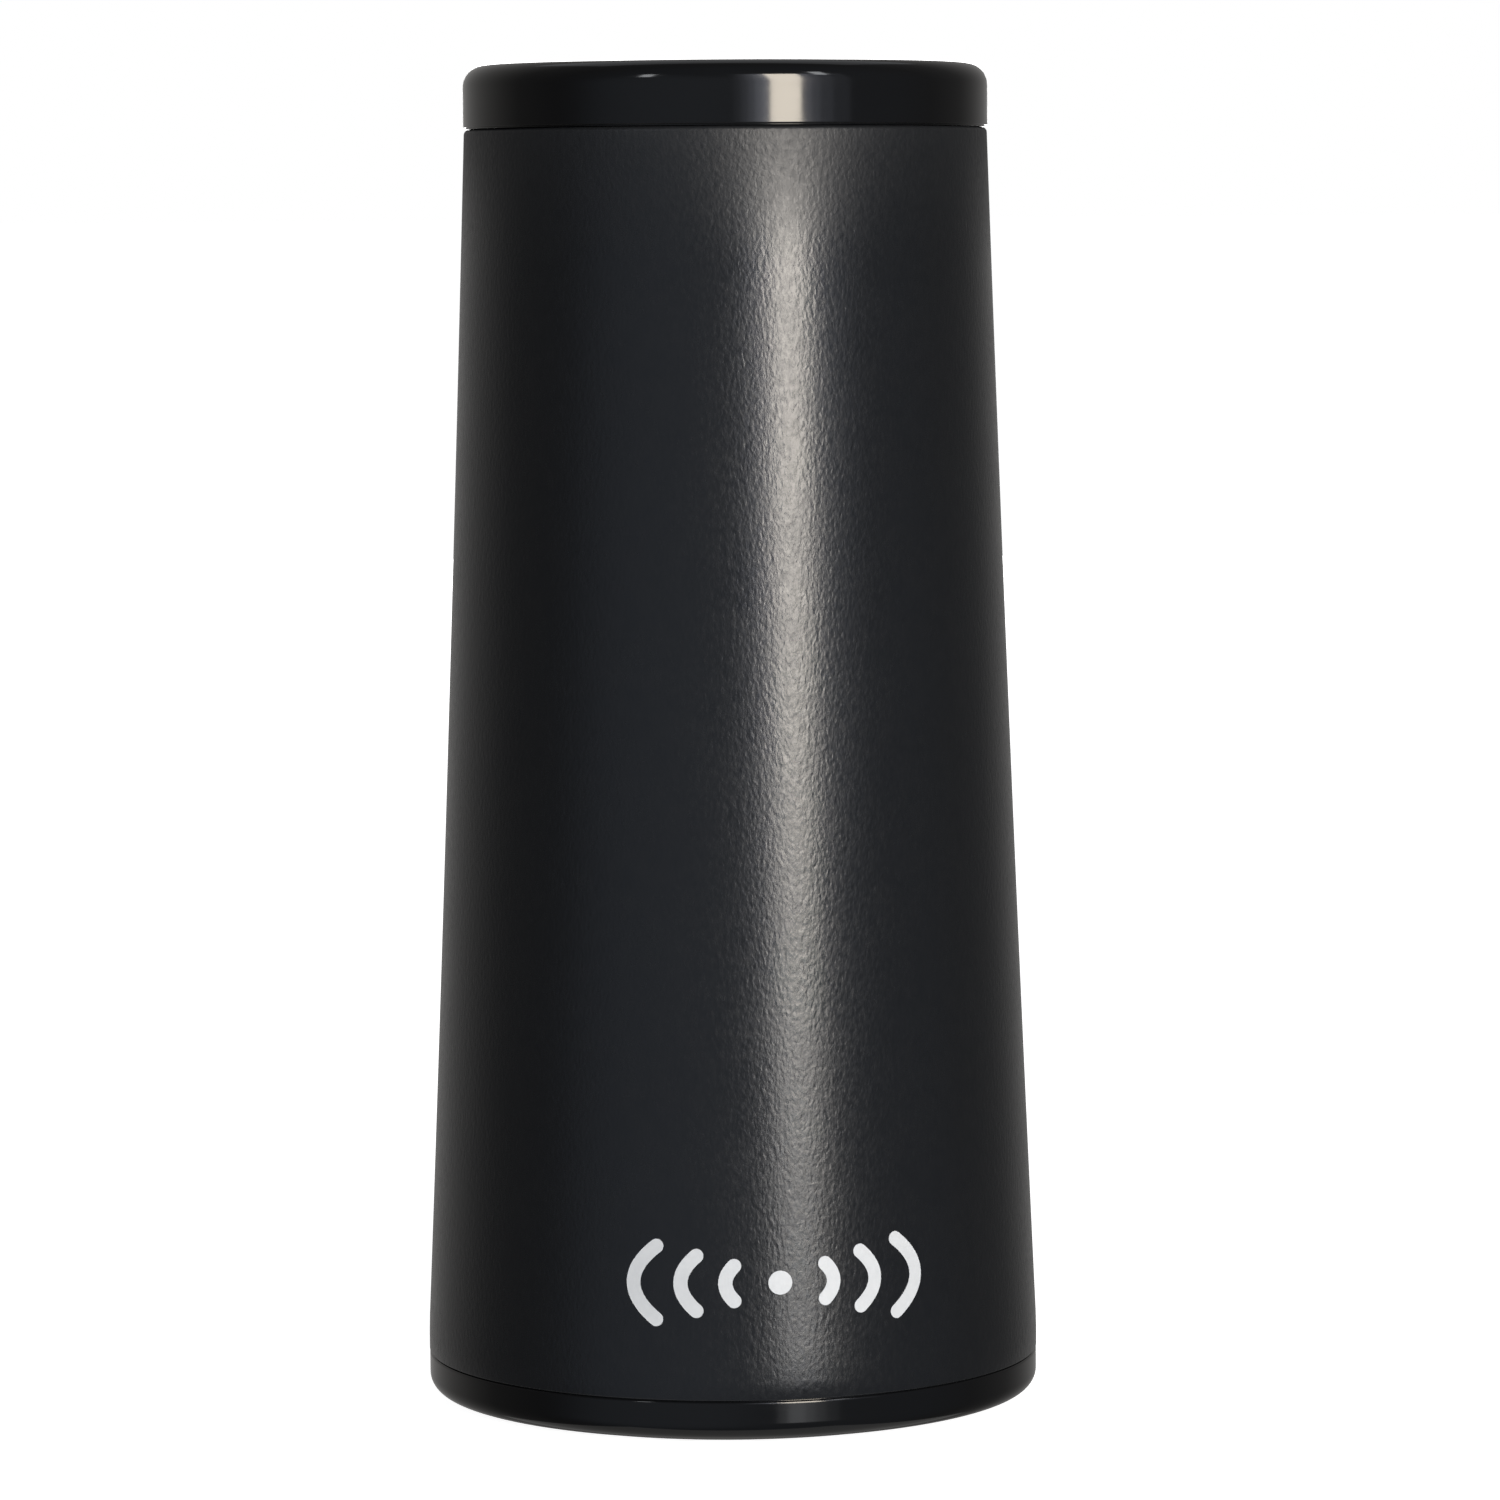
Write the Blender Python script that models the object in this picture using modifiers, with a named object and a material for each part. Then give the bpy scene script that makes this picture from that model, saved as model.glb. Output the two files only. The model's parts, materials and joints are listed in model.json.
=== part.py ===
"""Low-profile vehicle antenna with a screw-on base, as an assembly of separate pieces.

Metres, +Z up. The origin is the centre of the mounting face, which is the underside of the gasket.
The front of the antenna faces -Y. Sizes are in millimetres here, and are turned to metres by MM.
"""

from math import cos, pi, radians, sin, tan

import bmesh
import bpy
from mathutils import Matrix, Vector

MM = 0.001

# ---------------------------------------------------------------- driving sizes, millimetres
# Outside: the foot's diameter follows from the thread and the walls around it.
OVERALL_HEIGHT = 82.8
CAP_DIAMETER = 32.4
CAP_HEIGHT = 3.82
CAP_EDGE_RADIUS = 1.0
CAP_TOP_THICKNESS = 2.0
CAP_SPIGOT_LENGTH = 5.5
CAP_SPIGOT_WALL = 1.5
RING_HEIGHT = 2.35
RING_EDGE_RADIUS = 1.1
RING_SET_IN = 0.02
SEAM = 0.3
EDGE_BREAK = 0.2

# The radome stands upright for its land, then tapers with a slight inward bow at mid height.
RADOME_WALL = 1.8
RADOME_SET_IN = 0.04
RADOME_WAIST = 0.12
RADOME_LAND = 1.5
RADOME_RIM_WALL = 2.0
RADOME_FOOT_WALL = 2.1

# The gasket stands proud of the base, so that it meets the mount first.
GASKET_PROUD = 0.3
GASKET_THICKNESS = 1.3
GASKET_LAND = 2.6

# Female thread for a standard vehicle mount: 1 1/8 inch, 18 threads per inch.
THREAD_MAJOR_DIAMETER = 28.58
THREAD_PITCH = 25.4 / 18
THREAD_HEIGHT_SHARE = 0.5413
THREAD_DEPTH = 8.9
INSERT_WALL = 1.0
INSERT_FLOOR = 2.6
BASE_SPIGOT_WALL = 1.06
LEAD_IN = 0.4

# The web is the base's solid deck, with the seal groove around it.
BASE_WEB = 3.1
SEAL_WIRE = 0.9
SEAL_GROOVE_WIDTH = 1.4

BOARD_THICKNESS = 1.6
BOARD_EDGE_ROOM = 1.35
SCREW_HEAD_ROOM = 0.5
SCREW_ANGLES = (90, 210, 330)
M25_SHANK_DIAMETER = 2.5
M25_HEAD_DIAMETER = 4.2
M25_HEAD_HEIGHT = 1.6
M25_LENGTH = 8.0
M3_SHANK_DIAMETER = 3.0
M3_HEAD_DIAMETER = 5.5
M3_HEAD_HEIGHT = 1.8
M3_LENGTH = 6.0

# Sprung centre contact: plunger, barrel, insulator and spring share one axis.
CONTACT_TRAVEL = 2.0
CONTACT_TIP_DIAMETER = 3.8
CONTACT_TIP_REACH = 2.2
CONTACT_SHOULDER_DIAMETER = 4.6
CONTACT_SHOULDER_HEIGHT = 1.2
CONTACT_PIN_DIAMETER = 2.0
CONTACT_PIN_ROOM = 0.4
BARREL_WALL = 0.5
BARREL_FLANGE_WIDTH = 1.5
BARREL_FLANGE_HEIGHT = 0.9
BARREL_LIP = 1.1
BARREL_NECK_WALL = 0.75
INSULATOR_WALL = 1.4
INSULATOR_FLANGE_WIDTH = 2.3
INSULATOR_FLANGE_HEIGHT = 1.2
INSULATOR_SEAT_DEPTH = 0.4
SPRING_WIRE = 0.36
SPRING_SIDE_ROOM = 0.6
SPRING_TURNS = 3.5
SPRING_SPARE = 0.34

# Element: a coil on a tube, fed at its foot by a lug, with a capacitance disc at its top.
FORMER_DIAMETER = 15.0
FORMER_WALL = 1.5
FORMER_FOOT_WIDTH = 1.5
FORMER_FLOOR = 2.0
FORMER_END = 3.0
FORMER_SLOT_WIDTH = 2.4
FORMER_SLOT_HEIGHT = 3.6
LUG_DIAMETER = 7.0
LUG_THICKNESS = 0.6
LUG_TAIL_WIDTH = 2.0
LUG_TAIL_ROOM = 0.4
ELEMENT_WIRE = 1.2
ELEMENT_TURNS = 5
ELEMENT_RISE = 5.5
HAT_EDGE_ROOM = 1.66
HAT_DROP = 3.2
HAT_THICKNESS = 0.8
WASHER_DIAMETER = 5.2
WASHER_THICKNESS = 0.5
FOAM_EDGE_ROOM = 0.86
FOAM_HOLE_DIAMETER = 8.0
SHUNT_WIRE = 0.6
SHUNT_DIAMETER = 3.2
SHUNT_TURNS = 4
SHUNT_PITCH = 1.0
SHUNT_ANGLE = 150
CAPACITOR_SIZE = (3.2, 1.6, 1.4)
CAPACITOR_ANGLE = 30

# ---------------------------------------------------------------- clearances, millimetres
FIT = 0.3
SLIDE_FIT = 0.2
SEAL_GAP = 0.1
TAPPED_FIT = 0.15

# ---------------------------------------------------------------- mesh fineness
BIG_STEPS = 48
SMALL_STEPS = 24
SCREW_STEPS = 16
EDGE_STEPS = 5
SEAL_SIDES = 6
TAPER_STEPS = 8

# ---------------------------------------------------------------- levels that several pieces share
RING_BOTTOM = GASKET_PROUD
RING_TOP = RING_BOTTOM + RING_HEIGHT
RADOME_BOTTOM = RING_TOP + SEAM
CAP_BOTTOM = OVERALL_HEIGHT - CAP_HEIGHT
RADOME_TOP = CAP_BOTTOM - SEAM
CAP_SPIGOT_BOTTOM = CAP_BOTTOM - CAP_SPIGOT_LENGTH
INSERT_BOTTOM = GASKET_THICKNESS + FIT
INSERT_CEILING = INSERT_BOTTOM + THREAD_DEPTH
INSERT_TOP = INSERT_CEILING + INSERT_FLOOR
WEB_BOTTOM = INSERT_TOP + FIT
WEB_TOP = WEB_BOTTOM + BASE_WEB
BOARD_BOTTOM = WEB_TOP + FIT
BOARD_TOP = BOARD_BOTTOM + BOARD_THICKNESS
FORMER_BOTTOM = BOARD_TOP + FIT
FORMER_FLOOR_TOP = FORMER_BOTTOM + FORMER_FLOOR
LUG_BOTTOM = FORMER_FLOOR_TOP + FIT
FEED_HEAD_BOTTOM = LUG_BOTTOM + LUG_THICKNESS + FIT
HAT_BOTTOM = CAP_SPIGOT_BOTTOM - HAT_DROP
HAT_TOP = HAT_BOTTOM + HAT_THICKNESS
FORMER_TOP = HAT_BOTTOM - FIT
CAP_CEILING = OVERALL_HEIGHT - CAP_TOP_THICKNESS
INSULATOR_SEAT = INSERT_CEILING + INSULATOR_SEAT_DEPTH
INSULATOR_BOTTOM = INSULATOR_SEAT - FIT - INSULATOR_FLANGE_HEIGHT
BARREL_BOTTOM = INSULATOR_BOTTOM - FIT - BARREL_FLANGE_HEIGHT
SHOULDER_BOTTOM = BARREL_BOTTOM + BARREL_LIP + SEAL_GAP
SHOULDER_TOP = SHOULDER_BOTTOM + CONTACT_SHOULDER_HEIGHT
SPRING_BOTTOM = SHOULDER_TOP + SEAL_GAP
SPRING_TOP = SPRING_BOTTOM + CONTACT_TRAVEL + SPRING_TURNS * SPRING_WIRE + SPRING_SPARE
BARREL_BORE_TOP = SPRING_TOP + SEAL_GAP

# ---------------------------------------------------------------- radii that several pieces share
THREAD_MAJOR_RADIUS = THREAD_MAJOR_DIAMETER / 2
THREAD_MINOR_RADIUS = THREAD_MAJOR_RADIUS - THREAD_HEIGHT_SHARE * THREAD_PITCH
INSERT_RADIUS = THREAD_MAJOR_RADIUS + INSERT_WALL
INSERT_POCKET_RADIUS = INSERT_RADIUS + FIT
BASE_SPIGOT_RADIUS = INSERT_POCKET_RADIUS + BASE_SPIGOT_WALL
FOOT_BORE_RADIUS = BASE_SPIGOT_RADIUS + FIT
FOOT_RADIUS = FOOT_BORE_RADIUS + RADOME_FOOT_WALL
RADOME_TOP_RADIUS = CAP_DIAMETER / 2 - RADOME_SET_IN
RIM_BORE_RADIUS = RADOME_TOP_RADIUS - RADOME_RIM_WALL
CAP_SPIGOT_RADIUS = RIM_BORE_RADIUS - FIT
CAP_INNER_RADIUS = CAP_SPIGOT_RADIUS - CAP_SPIGOT_WALL
GASKET_INNER_RADIUS = THREAD_MAJOR_RADIUS + LEAD_IN
GASKET_OUTER_RADIUS = GASKET_INNER_RADIUS + GASKET_LAND
GASKET_RECESS_RADIUS = GASKET_OUTER_RADIUS + FIT
BARREL_BORE_RADIUS = CONTACT_SHOULDER_DIAMETER / 2 + SLIDE_FIT
BARREL_RADIUS = BARREL_BORE_RADIUS + BARREL_WALL
BARREL_TAPPED_RADIUS = M3_SHANK_DIAMETER / 2 + TAPPED_FIT
BARREL_NECK_RADIUS = BARREL_TAPPED_RADIUS + BARREL_NECK_WALL
INSULATOR_BORE_RADIUS = BARREL_RADIUS + FIT
INSULATOR_RADIUS = INSULATOR_BORE_RADIUS + INSULATOR_WALL
INSULATOR_HOLE_RADIUS = INSULATOR_RADIUS + FIT
INSULATOR_FLANGE_RADIUS = INSULATOR_RADIUS + INSULATOR_FLANGE_WIDTH
INSULATOR_SEAT_RADIUS = INSULATOR_FLANGE_RADIUS + FIT
M25_HOLE_RADIUS = M25_SHANK_DIAMETER / 2 + FIT
M3_HOLE_RADIUS = M3_SHANK_DIAMETER / 2 + FIT
FORMER_RADIUS = FORMER_DIAMETER / 2
FORMER_BORE_RADIUS = FORMER_RADIUS - FORMER_WALL
FORMER_FOOT_RADIUS = FORMER_RADIUS + FORMER_FOOT_WIDTH
SCREW_CIRCLE_RADIUS = FORMER_FOOT_RADIUS + SCREW_HEAD_ROOM + M25_HEAD_DIAMETER / 2
LUG_TAIL_REACH = FORMER_BORE_RADIUS - LUG_TAIL_ROOM
ELEMENT_RADIUS = FORMER_RADIUS + FIT + ELEMENT_WIRE / 2

# ---------------------------------------------------------------- materials: colour, roughness, metallic
FINISHES = {
    "grained_black_plastic": ((0.018, 0.018, 0.020), 0.50, 0.0),
    "gloss_black_plastic": ((0.010, 0.010, 0.012), 0.12, 0.0),
    "black_rubber": ((0.020, 0.020, 0.020), 0.75, 0.0),
    "nickel_plate": ((0.66, 0.63, 0.57), 0.28, 1.0),
    "brass": ((0.72, 0.50, 0.20), 0.30, 1.0),
    "gold_plate": ((0.95, 0.68, 0.28), 0.20, 1.0),
    "white_ptfe": ((0.86, 0.86, 0.84), 0.40, 0.0),
    "spring_steel": ((0.55, 0.56, 0.58), 0.30, 1.0),
    "circuit_board": ((0.03, 0.16, 0.07), 0.40, 0.0),
    "enamelled_copper": ((0.62, 0.24, 0.10), 0.25, 1.0),
    "capacitor_ceramic": ((0.48, 0.36, 0.24), 0.45, 0.0),
    "natural_nylon": ((0.80, 0.77, 0.68), 0.45, 0.0),
    "zinc_steel": ((0.60, 0.60, 0.62), 0.30, 1.0),
    "grey_foam": ((0.12, 0.12, 0.13), 0.90, 0.0),
}


def clear_scene():
    """Removes what the scene holds, so the script can be run again."""
    for obj in list(bpy.data.objects):
        bpy.data.objects.remove(obj, do_unlink=True)
    for collection in list(bpy.data.collections):
        bpy.data.collections.remove(collection)


def new_collection(name):
    collection = bpy.data.collections.new(name)
    bpy.context.scene.collection.children.link(collection)
    return collection


def finish_material(name):
    """The named finish as a Principled material, made once."""
    found = bpy.data.materials.get(name)
    if found:
        return found
    colour, roughness, metallic = FINISHES[name]
    material = bpy.data.materials.new(name)
    material.use_nodes = True
    shader = material.node_tree.nodes["Principled BSDF"]
    shader.inputs["Base Color"].default_value = (*colour, 1.0)
    shader.inputs["Roughness"].default_value = roughness
    shader.inputs["Metallic"].default_value = metallic
    return material


def add_object(name, data, finish, collection, at=(0, 0, 0)):
    """A new object in a collection, at a place in millimetres."""
    obj = bpy.data.objects.new(name, data)
    collection.objects.link(obj)
    obj.location = Vector(at) * MM
    if finish:
        data.materials.append(finish_material(finish))
    return obj


def smooth(mesh, angle=35):
    mesh.shade_smooth()
    mesh.set_sharp_from_angle(angle=radians(angle))


def arc(centre, radius, start, end, steps=1):
    """Points (r, z) on an arc, with its two angles in degrees, anticlockwise from the +r direction."""
    points = []
    for step in range(steps + 1):
        angle = radians(start + (end - start) * step / steps)
        points.append((centre[0] + radius * cos(angle), centre[1] + radius * sin(angle)))
    return points


def turned(name, profile, finish, collection, steps, closed=True, at=(0, 0, 0)):
    """A turned piece. The profile, in (r, z) millimetres, runs down its outer side.

    A closed profile makes a ring. An open one starts and ends on the axis.
    """
    mesh = bpy.data.meshes.new(name)
    points = [(r * MM, 0, z * MM) for r, z in profile]
    edges = [(i, i + 1) for i in range(len(points) - 1)]
    if closed:
        edges.append((len(points) - 1, 0))
    mesh.from_pydata(points, edges, [])
    obj = add_object(name, mesh, finish, collection, at)
    screw = obj.modifiers.new("turn", "SCREW")
    screw.steps = steps
    screw.render_steps = steps
    screw.use_merge_vertices = True
    screw.merge_threshold = 1e-6
    screw.use_smooth_shade = False
    return obj


def applied(obj):
    """The object with its modifiers applied and its round sides shaded smooth."""
    graph = bpy.context.evaluated_depsgraph_get()
    mesh = bpy.data.meshes.new_from_object(obj.evaluated_get(graph))
    obj.modifiers.clear()
    obj.data = mesh
    smooth(mesh)
    return obj


def cylinder(name, radius, bottom, top, collection, steps=SMALL_STEPS, centre=(0, 0), finish=None):
    mesh = bpy.data.meshes.new(name)
    shape = bmesh.new()
    bmesh.ops.create_cone(
        shape,
        cap_ends=True,
        segments=steps,
        radius1=radius * MM,
        radius2=radius * MM,
        depth=(top - bottom) * MM,
    )
    shape.to_mesh(mesh)
    shape.free()
    return add_object(name, mesh, finish, collection, (*centre, (bottom + top) / 2))


def box(name, size, centre, collection, finish=None, bevel=0.0):
    mesh = bpy.data.meshes.new(name)
    shape = bmesh.new()
    bmesh.ops.create_cube(shape, size=1.0, matrix=Matrix.Diagonal((*(s * MM for s in size), 1)))
    if bevel:
        bmesh.ops.bevel(
            shape,
            geom=shape.edges[:],
            offset=bevel * MM,
            segments=1,
            affect="EDGES",
        )
    shape.to_mesh(mesh)
    shape.free()
    return add_object(name, mesh, finish, collection, centre)


def combine(obj, tool, operation="DIFFERENCE"):
    """Cuts the tool from the object, or joins it on, and leaves the modifier in place."""
    boolean = obj.modifiers.new(tool.name, "BOOLEAN")
    boolean.operation = operation
    boolean.solver = "EXACT"
    boolean.object = tool
    tool.hide_render = True
    tool.display_type = "WIRE"
    return obj


def wire(name, points, diameter, finish, collection):
    """A round wire along points in millimetres, as a capped curve."""
    curve = bpy.data.curves.new(name, "CURVE")
    curve.dimensions = "3D"
    curve.bevel_depth = diameter / 2 * MM
    curve.bevel_resolution = 2
    curve.use_fill_caps = True
    curve.twist_mode = "MINIMUM"
    spline = curve.splines.new("POLY")
    spline.points.add(len(points) - 1)
    for point, place in zip(spline.points, points):
        point.co = (*(Vector(place) * MM), 1.0)
    return add_object(name, curve, finish, collection)


def helix(radius, bottom, top, turns, per_turn):
    """Points of a helix about Z, from bottom to top, starting over the +X axis."""
    count = round(turns * per_turn)
    points = []
    for step in range(count + 1):
        angle = 2 * pi * turns * step / count
        height = bottom + (top - bottom) * step / count
        points.append((radius * cos(angle), radius * sin(angle), height))
    return points


def on_circle(radius, angle):
    return (radius * cos(radians(angle)), radius * sin(radians(angle)))


def radome_radius(height):
    """The radome's outer radius: upright at the foot, then a taper with a slight inward bow."""
    start = RADOME_BOTTOM + RADOME_LAND
    share = max(0.0, (height - start) / (RADOME_TOP - start))
    straight = FOOT_RADIUS + (RADOME_TOP_RADIUS - FOOT_RADIUS) * share
    return straight - 4 * RADOME_WAIST * share * (1 - share)


def make_radome(parts):
    start = RADOME_BOTTOM + RADOME_LAND
    top_edge = RADOME_TOP - EDGE_BREAK
    outer = arc((radome_radius(top_edge) - EDGE_BREAK, top_edge), EDGE_BREAK, 90, 0)
    for step in range(1, TAPER_STEPS + 1):
        height = top_edge + (start - top_edge) * step / TAPER_STEPS
        outer.append((radome_radius(height), height))
    outer += arc((FOOT_RADIUS - EDGE_BREAK, RADOME_BOTTOM + EDGE_BREAK), EDGE_BREAK, 0, -90)
    inner = [(FOOT_BORE_RADIUS, RADOME_BOTTOM), (FOOT_BORE_RADIUS, WEB_TOP + LEAD_IN)]
    low = WEB_TOP + 2 * LEAD_IN
    high = CAP_SPIGOT_BOTTOM - 2 * LEAD_IN
    for step in range(TAPER_STEPS // 2 + 1):
        height = low + (high - low) * step / (TAPER_STEPS // 2)
        inner.append((radome_radius(height) - RADOME_WALL, height))
    inner += [(RIM_BORE_RADIUS, high + LEAD_IN), (RIM_BORE_RADIUS, RADOME_TOP)]
    return applied(turned("radome", outer + inner, "grained_black_plastic", parts, BIG_STEPS))


def seal_groove(radius, middle, floor_radius):
    """A seal groove, as profile points that run down a spigot's outer side."""
    half = SEAL_GROOVE_WIDTH / 2
    return [
        (radius, middle + half),
        (floor_radius, middle + half),
        (floor_radius, middle - half),
        (radius, middle - half),
    ]


def seal_groove_floor(bore_radius):
    return bore_radius - SEAL_WIRE - 2 * SEAL_GAP


def make_top_cap(parts):
    radius = CAP_DIAMETER / 2
    edge = (radius - CAP_EDGE_RADIUS, OVERALL_HEIGHT - CAP_EDGE_RADIUS)
    profile = [(0, OVERALL_HEIGHT), *arc(edge, CAP_EDGE_RADIUS, 90, 0, EDGE_STEPS)]
    profile += arc((radius - EDGE_BREAK, CAP_BOTTOM + EDGE_BREAK), EDGE_BREAK, 0, -90)
    profile += [(CAP_SPIGOT_RADIUS, CAP_BOTTOM)]
    profile += seal_groove(CAP_SPIGOT_RADIUS, cap_seal_height(), seal_groove_floor(RIM_BORE_RADIUS))
    profile += [
        (CAP_SPIGOT_RADIUS, CAP_SPIGOT_BOTTOM + LEAD_IN),
        (CAP_SPIGOT_RADIUS - LEAD_IN, CAP_SPIGOT_BOTTOM),
        (CAP_INNER_RADIUS, CAP_SPIGOT_BOTTOM),
        (CAP_INNER_RADIUS, CAP_CEILING),
        (0, CAP_CEILING),
    ]
    return applied(turned("top_cap", profile, "gloss_black_plastic", parts, BIG_STEPS, closed=False))


def cap_seal_height():
    return CAP_BOTTOM - CAP_SPIGOT_LENGTH / 2


def base_seal_height():
    return WEB_TOP - BASE_WEB / 2


def seal_ring(name, bore_radius, height, parts):
    """An O-ring that lies between a groove's floor and the bore around it."""
    section = SEAL_WIRE / 2
    centre = (bore_radius - SEAL_GAP - section, height)
    profile = arc(centre, section, 180, -180, SEAL_SIDES)[:-1]
    return applied(turned(name, profile, "black_rubber", parts, BIG_STEPS))


def board_screw_cutters(name, bottom, top, cutters):
    """One cutter for each board screw, through the given heights."""
    made = []
    for number, angle in enumerate(SCREW_ANGLES, 1):
        centre = on_circle(SCREW_CIRCLE_RADIUS, angle)
        made.append(
            cylinder(f"{name}_{number}", M25_HOLE_RADIUS, bottom, top, cutters, SCREW_STEPS, centre)
        )
    return made


def make_base_body(parts, cutters):
    radius = FOOT_RADIUS - RING_SET_IN
    edge = (radius - RING_EDGE_RADIUS, RING_BOTTOM + RING_EDGE_RADIUS)
    profile = [
        (INSULATOR_HOLE_RADIUS, WEB_TOP),
        (BASE_SPIGOT_RADIUS - LEAD_IN, WEB_TOP),
        (BASE_SPIGOT_RADIUS, WEB_TOP - LEAD_IN),
    ]
    profile += seal_groove(BASE_SPIGOT_RADIUS, base_seal_height(), seal_groove_floor(FOOT_BORE_RADIUS))
    profile += [(BASE_SPIGOT_RADIUS, RING_TOP)]
    profile += arc((radius - EDGE_BREAK, RING_TOP - EDGE_BREAK), EDGE_BREAK, 90, 0)
    profile += arc(edge, RING_EDGE_RADIUS, 0, -90, EDGE_STEPS)
    profile += [
        (GASKET_RECESS_RADIUS, RING_BOTTOM),
        (GASKET_RECESS_RADIUS, INSERT_BOTTOM),
        (INSERT_POCKET_RADIUS, INSERT_BOTTOM),
        (INSERT_POCKET_RADIUS, WEB_BOTTOM),
        (INSULATOR_HOLE_RADIUS, WEB_BOTTOM),
    ]
    body = turned("base_body", profile, "gloss_black_plastic", parts, BIG_STEPS)
    for cutter in board_screw_cutters("base_hole", WEB_BOTTOM - 1, WEB_TOP + 1, cutters):
        combine(body, cutter)
    return applied(body)


def make_mount_gasket(parts):
    profile = [
        (GASKET_INNER_RADIUS, GASKET_THICKNESS),
        (GASKET_OUTER_RADIUS, GASKET_THICKNESS),
        (GASKET_OUTER_RADIUS, EDGE_BREAK),
        (GASKET_OUTER_RADIUS - EDGE_BREAK, 0),
        (GASKET_INNER_RADIUS + EDGE_BREAK, 0),
        (GASKET_INNER_RADIUS, EDGE_BREAK),
    ]
    return applied(turned("mount_gasket", profile, "black_rubber", parts, BIG_STEPS))


def make_threaded_insert(parts, cutters):
    """The thread's crests and roots are rings at the true pitch and diameters.

    The insulator's flange sits in a shallow seat in the ceiling.
    """
    major = THREAD_MAJOR_RADIUS
    minor = THREAD_MINOR_RADIUS
    flank = (major - minor) * tan(radians(30))
    first = INSERT_BOTTOM + major - minor
    count = int((INSERT_CEILING - first) / THREAD_PITCH - 0.5)
    thread = [(major, INSERT_BOTTOM), (minor, first)]
    for turn in range(count):
        root = first + (turn + 0.5) * THREAD_PITCH
        thread += [(minor, root - flank), (major, root), (minor, root + flank)]
    profile = [
        (INSULATOR_HOLE_RADIUS, INSERT_TOP),
        (INSERT_RADIUS - LEAD_IN, INSERT_TOP),
        (INSERT_RADIUS, INSERT_TOP - LEAD_IN),
        (INSERT_RADIUS, INSERT_BOTTOM),
        *thread,
        (minor, INSERT_CEILING),
        (INSULATOR_SEAT_RADIUS, INSERT_CEILING),
        (INSULATOR_SEAT_RADIUS, INSULATOR_SEAT),
        (INSULATOR_HOLE_RADIUS, INSULATOR_SEAT),
    ]
    body = turned("threaded_insert", profile, "nickel_plate", parts, BIG_STEPS)
    for cutter in board_screw_cutters("insert_hole", INSERT_CEILING - 1, INSERT_TOP + 1, cutters):
        combine(body, cutter)
    return applied(body)


def make_contact_insulator(parts):
    profile = [
        (INSULATOR_BORE_RADIUS, WEB_TOP),
        (INSULATOR_RADIUS, WEB_TOP),
        (INSULATOR_RADIUS, INSULATOR_BOTTOM + INSULATOR_FLANGE_HEIGHT),
        (INSULATOR_FLANGE_RADIUS, INSULATOR_BOTTOM + INSULATOR_FLANGE_HEIGHT),
        (INSULATOR_FLANGE_RADIUS, INSULATOR_BOTTOM + EDGE_BREAK),
        (INSULATOR_FLANGE_RADIUS - EDGE_BREAK, INSULATOR_BOTTOM),
        (INSULATOR_BORE_RADIUS, INSULATOR_BOTTOM),
    ]
    return applied(turned("contact_insulator", profile, "white_ptfe", parts, SMALL_STEPS))


def make_contact_barrel(parts):
    """One turned piece: flange, body, and a neck that goes up through the board."""
    neck_top = BOARD_TOP + SEAL_GAP
    flange = BARREL_RADIUS + BARREL_FLANGE_WIDTH
    lip = CONTACT_TIP_DIAMETER / 2 + SLIDE_FIT
    profile = [
        (BARREL_TAPPED_RADIUS, neck_top),
        (BARREL_NECK_RADIUS, neck_top),
        (BARREL_NECK_RADIUS, WEB_TOP),
        (BARREL_RADIUS, WEB_TOP),
        (BARREL_RADIUS, BARREL_BOTTOM + BARREL_FLANGE_HEIGHT),
        (flange, BARREL_BOTTOM + BARREL_FLANGE_HEIGHT),
        (flange, BARREL_BOTTOM + EDGE_BREAK),
        (flange - EDGE_BREAK, BARREL_BOTTOM),
        (lip, BARREL_BOTTOM),
        (lip, BARREL_BOTTOM + BARREL_LIP),
        (BARREL_BORE_RADIUS, BARREL_BOTTOM + BARREL_LIP),
        (BARREL_BORE_RADIUS, BARREL_BORE_TOP),
        (BARREL_TAPPED_RADIUS, BARREL_BORE_TOP),
    ]
    return applied(turned("contact_barrel", profile, "brass", parts, SMALL_STEPS))


def make_contact_plunger(parts, axis):
    """The plunger's own frame has its origin on the joint axis, at the tip."""
    tip = BARREL_BOTTOM - CONTACT_TIP_REACH
    shank = CONTACT_TIP_DIAMETER / 2
    shoulder = CONTACT_SHOULDER_DIAMETER / 2
    pin = CONTACT_PIN_DIAMETER / 2
    pin_top = BARREL_BORE_TOP - CONTACT_TRAVEL - CONTACT_PIN_ROOM
    nose = shank * 0.75
    profile = [
        (0, pin_top),
        (pin, pin_top),
        (pin, SHOULDER_TOP),
        (shoulder, SHOULDER_TOP),
        (shoulder, SHOULDER_BOTTOM),
        (shank, SHOULDER_BOTTOM),
    ]
    for step in range(EDGE_STEPS):
        angle = pi / 2 * step / EDGE_STEPS
        profile.append((shank * cos(angle), tip + nose * (1 - sin(angle))))
    profile.append((0, tip))
    local = [(r, z - tip) for r, z in profile]
    plunger = turned("contact_plunger", local, "gold_plate", parts, SMALL_STEPS, closed=False)
    plunger.parent = axis
    axis.location = (0, 0, tip * MM)
    return applied(plunger)


def make_contact_spring(parts):
    radius = BARREL_BORE_RADIUS - SPRING_SIDE_ROOM - SPRING_WIRE / 2
    low = SPRING_BOTTOM + SPRING_WIRE / 2
    high = SPRING_TOP - SPRING_WIRE / 2
    points = helix(radius, low, high, SPRING_TURNS, per_turn=12)
    return wire("contact_spring", points, SPRING_WIRE, "spring_steel", parts)


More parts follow.
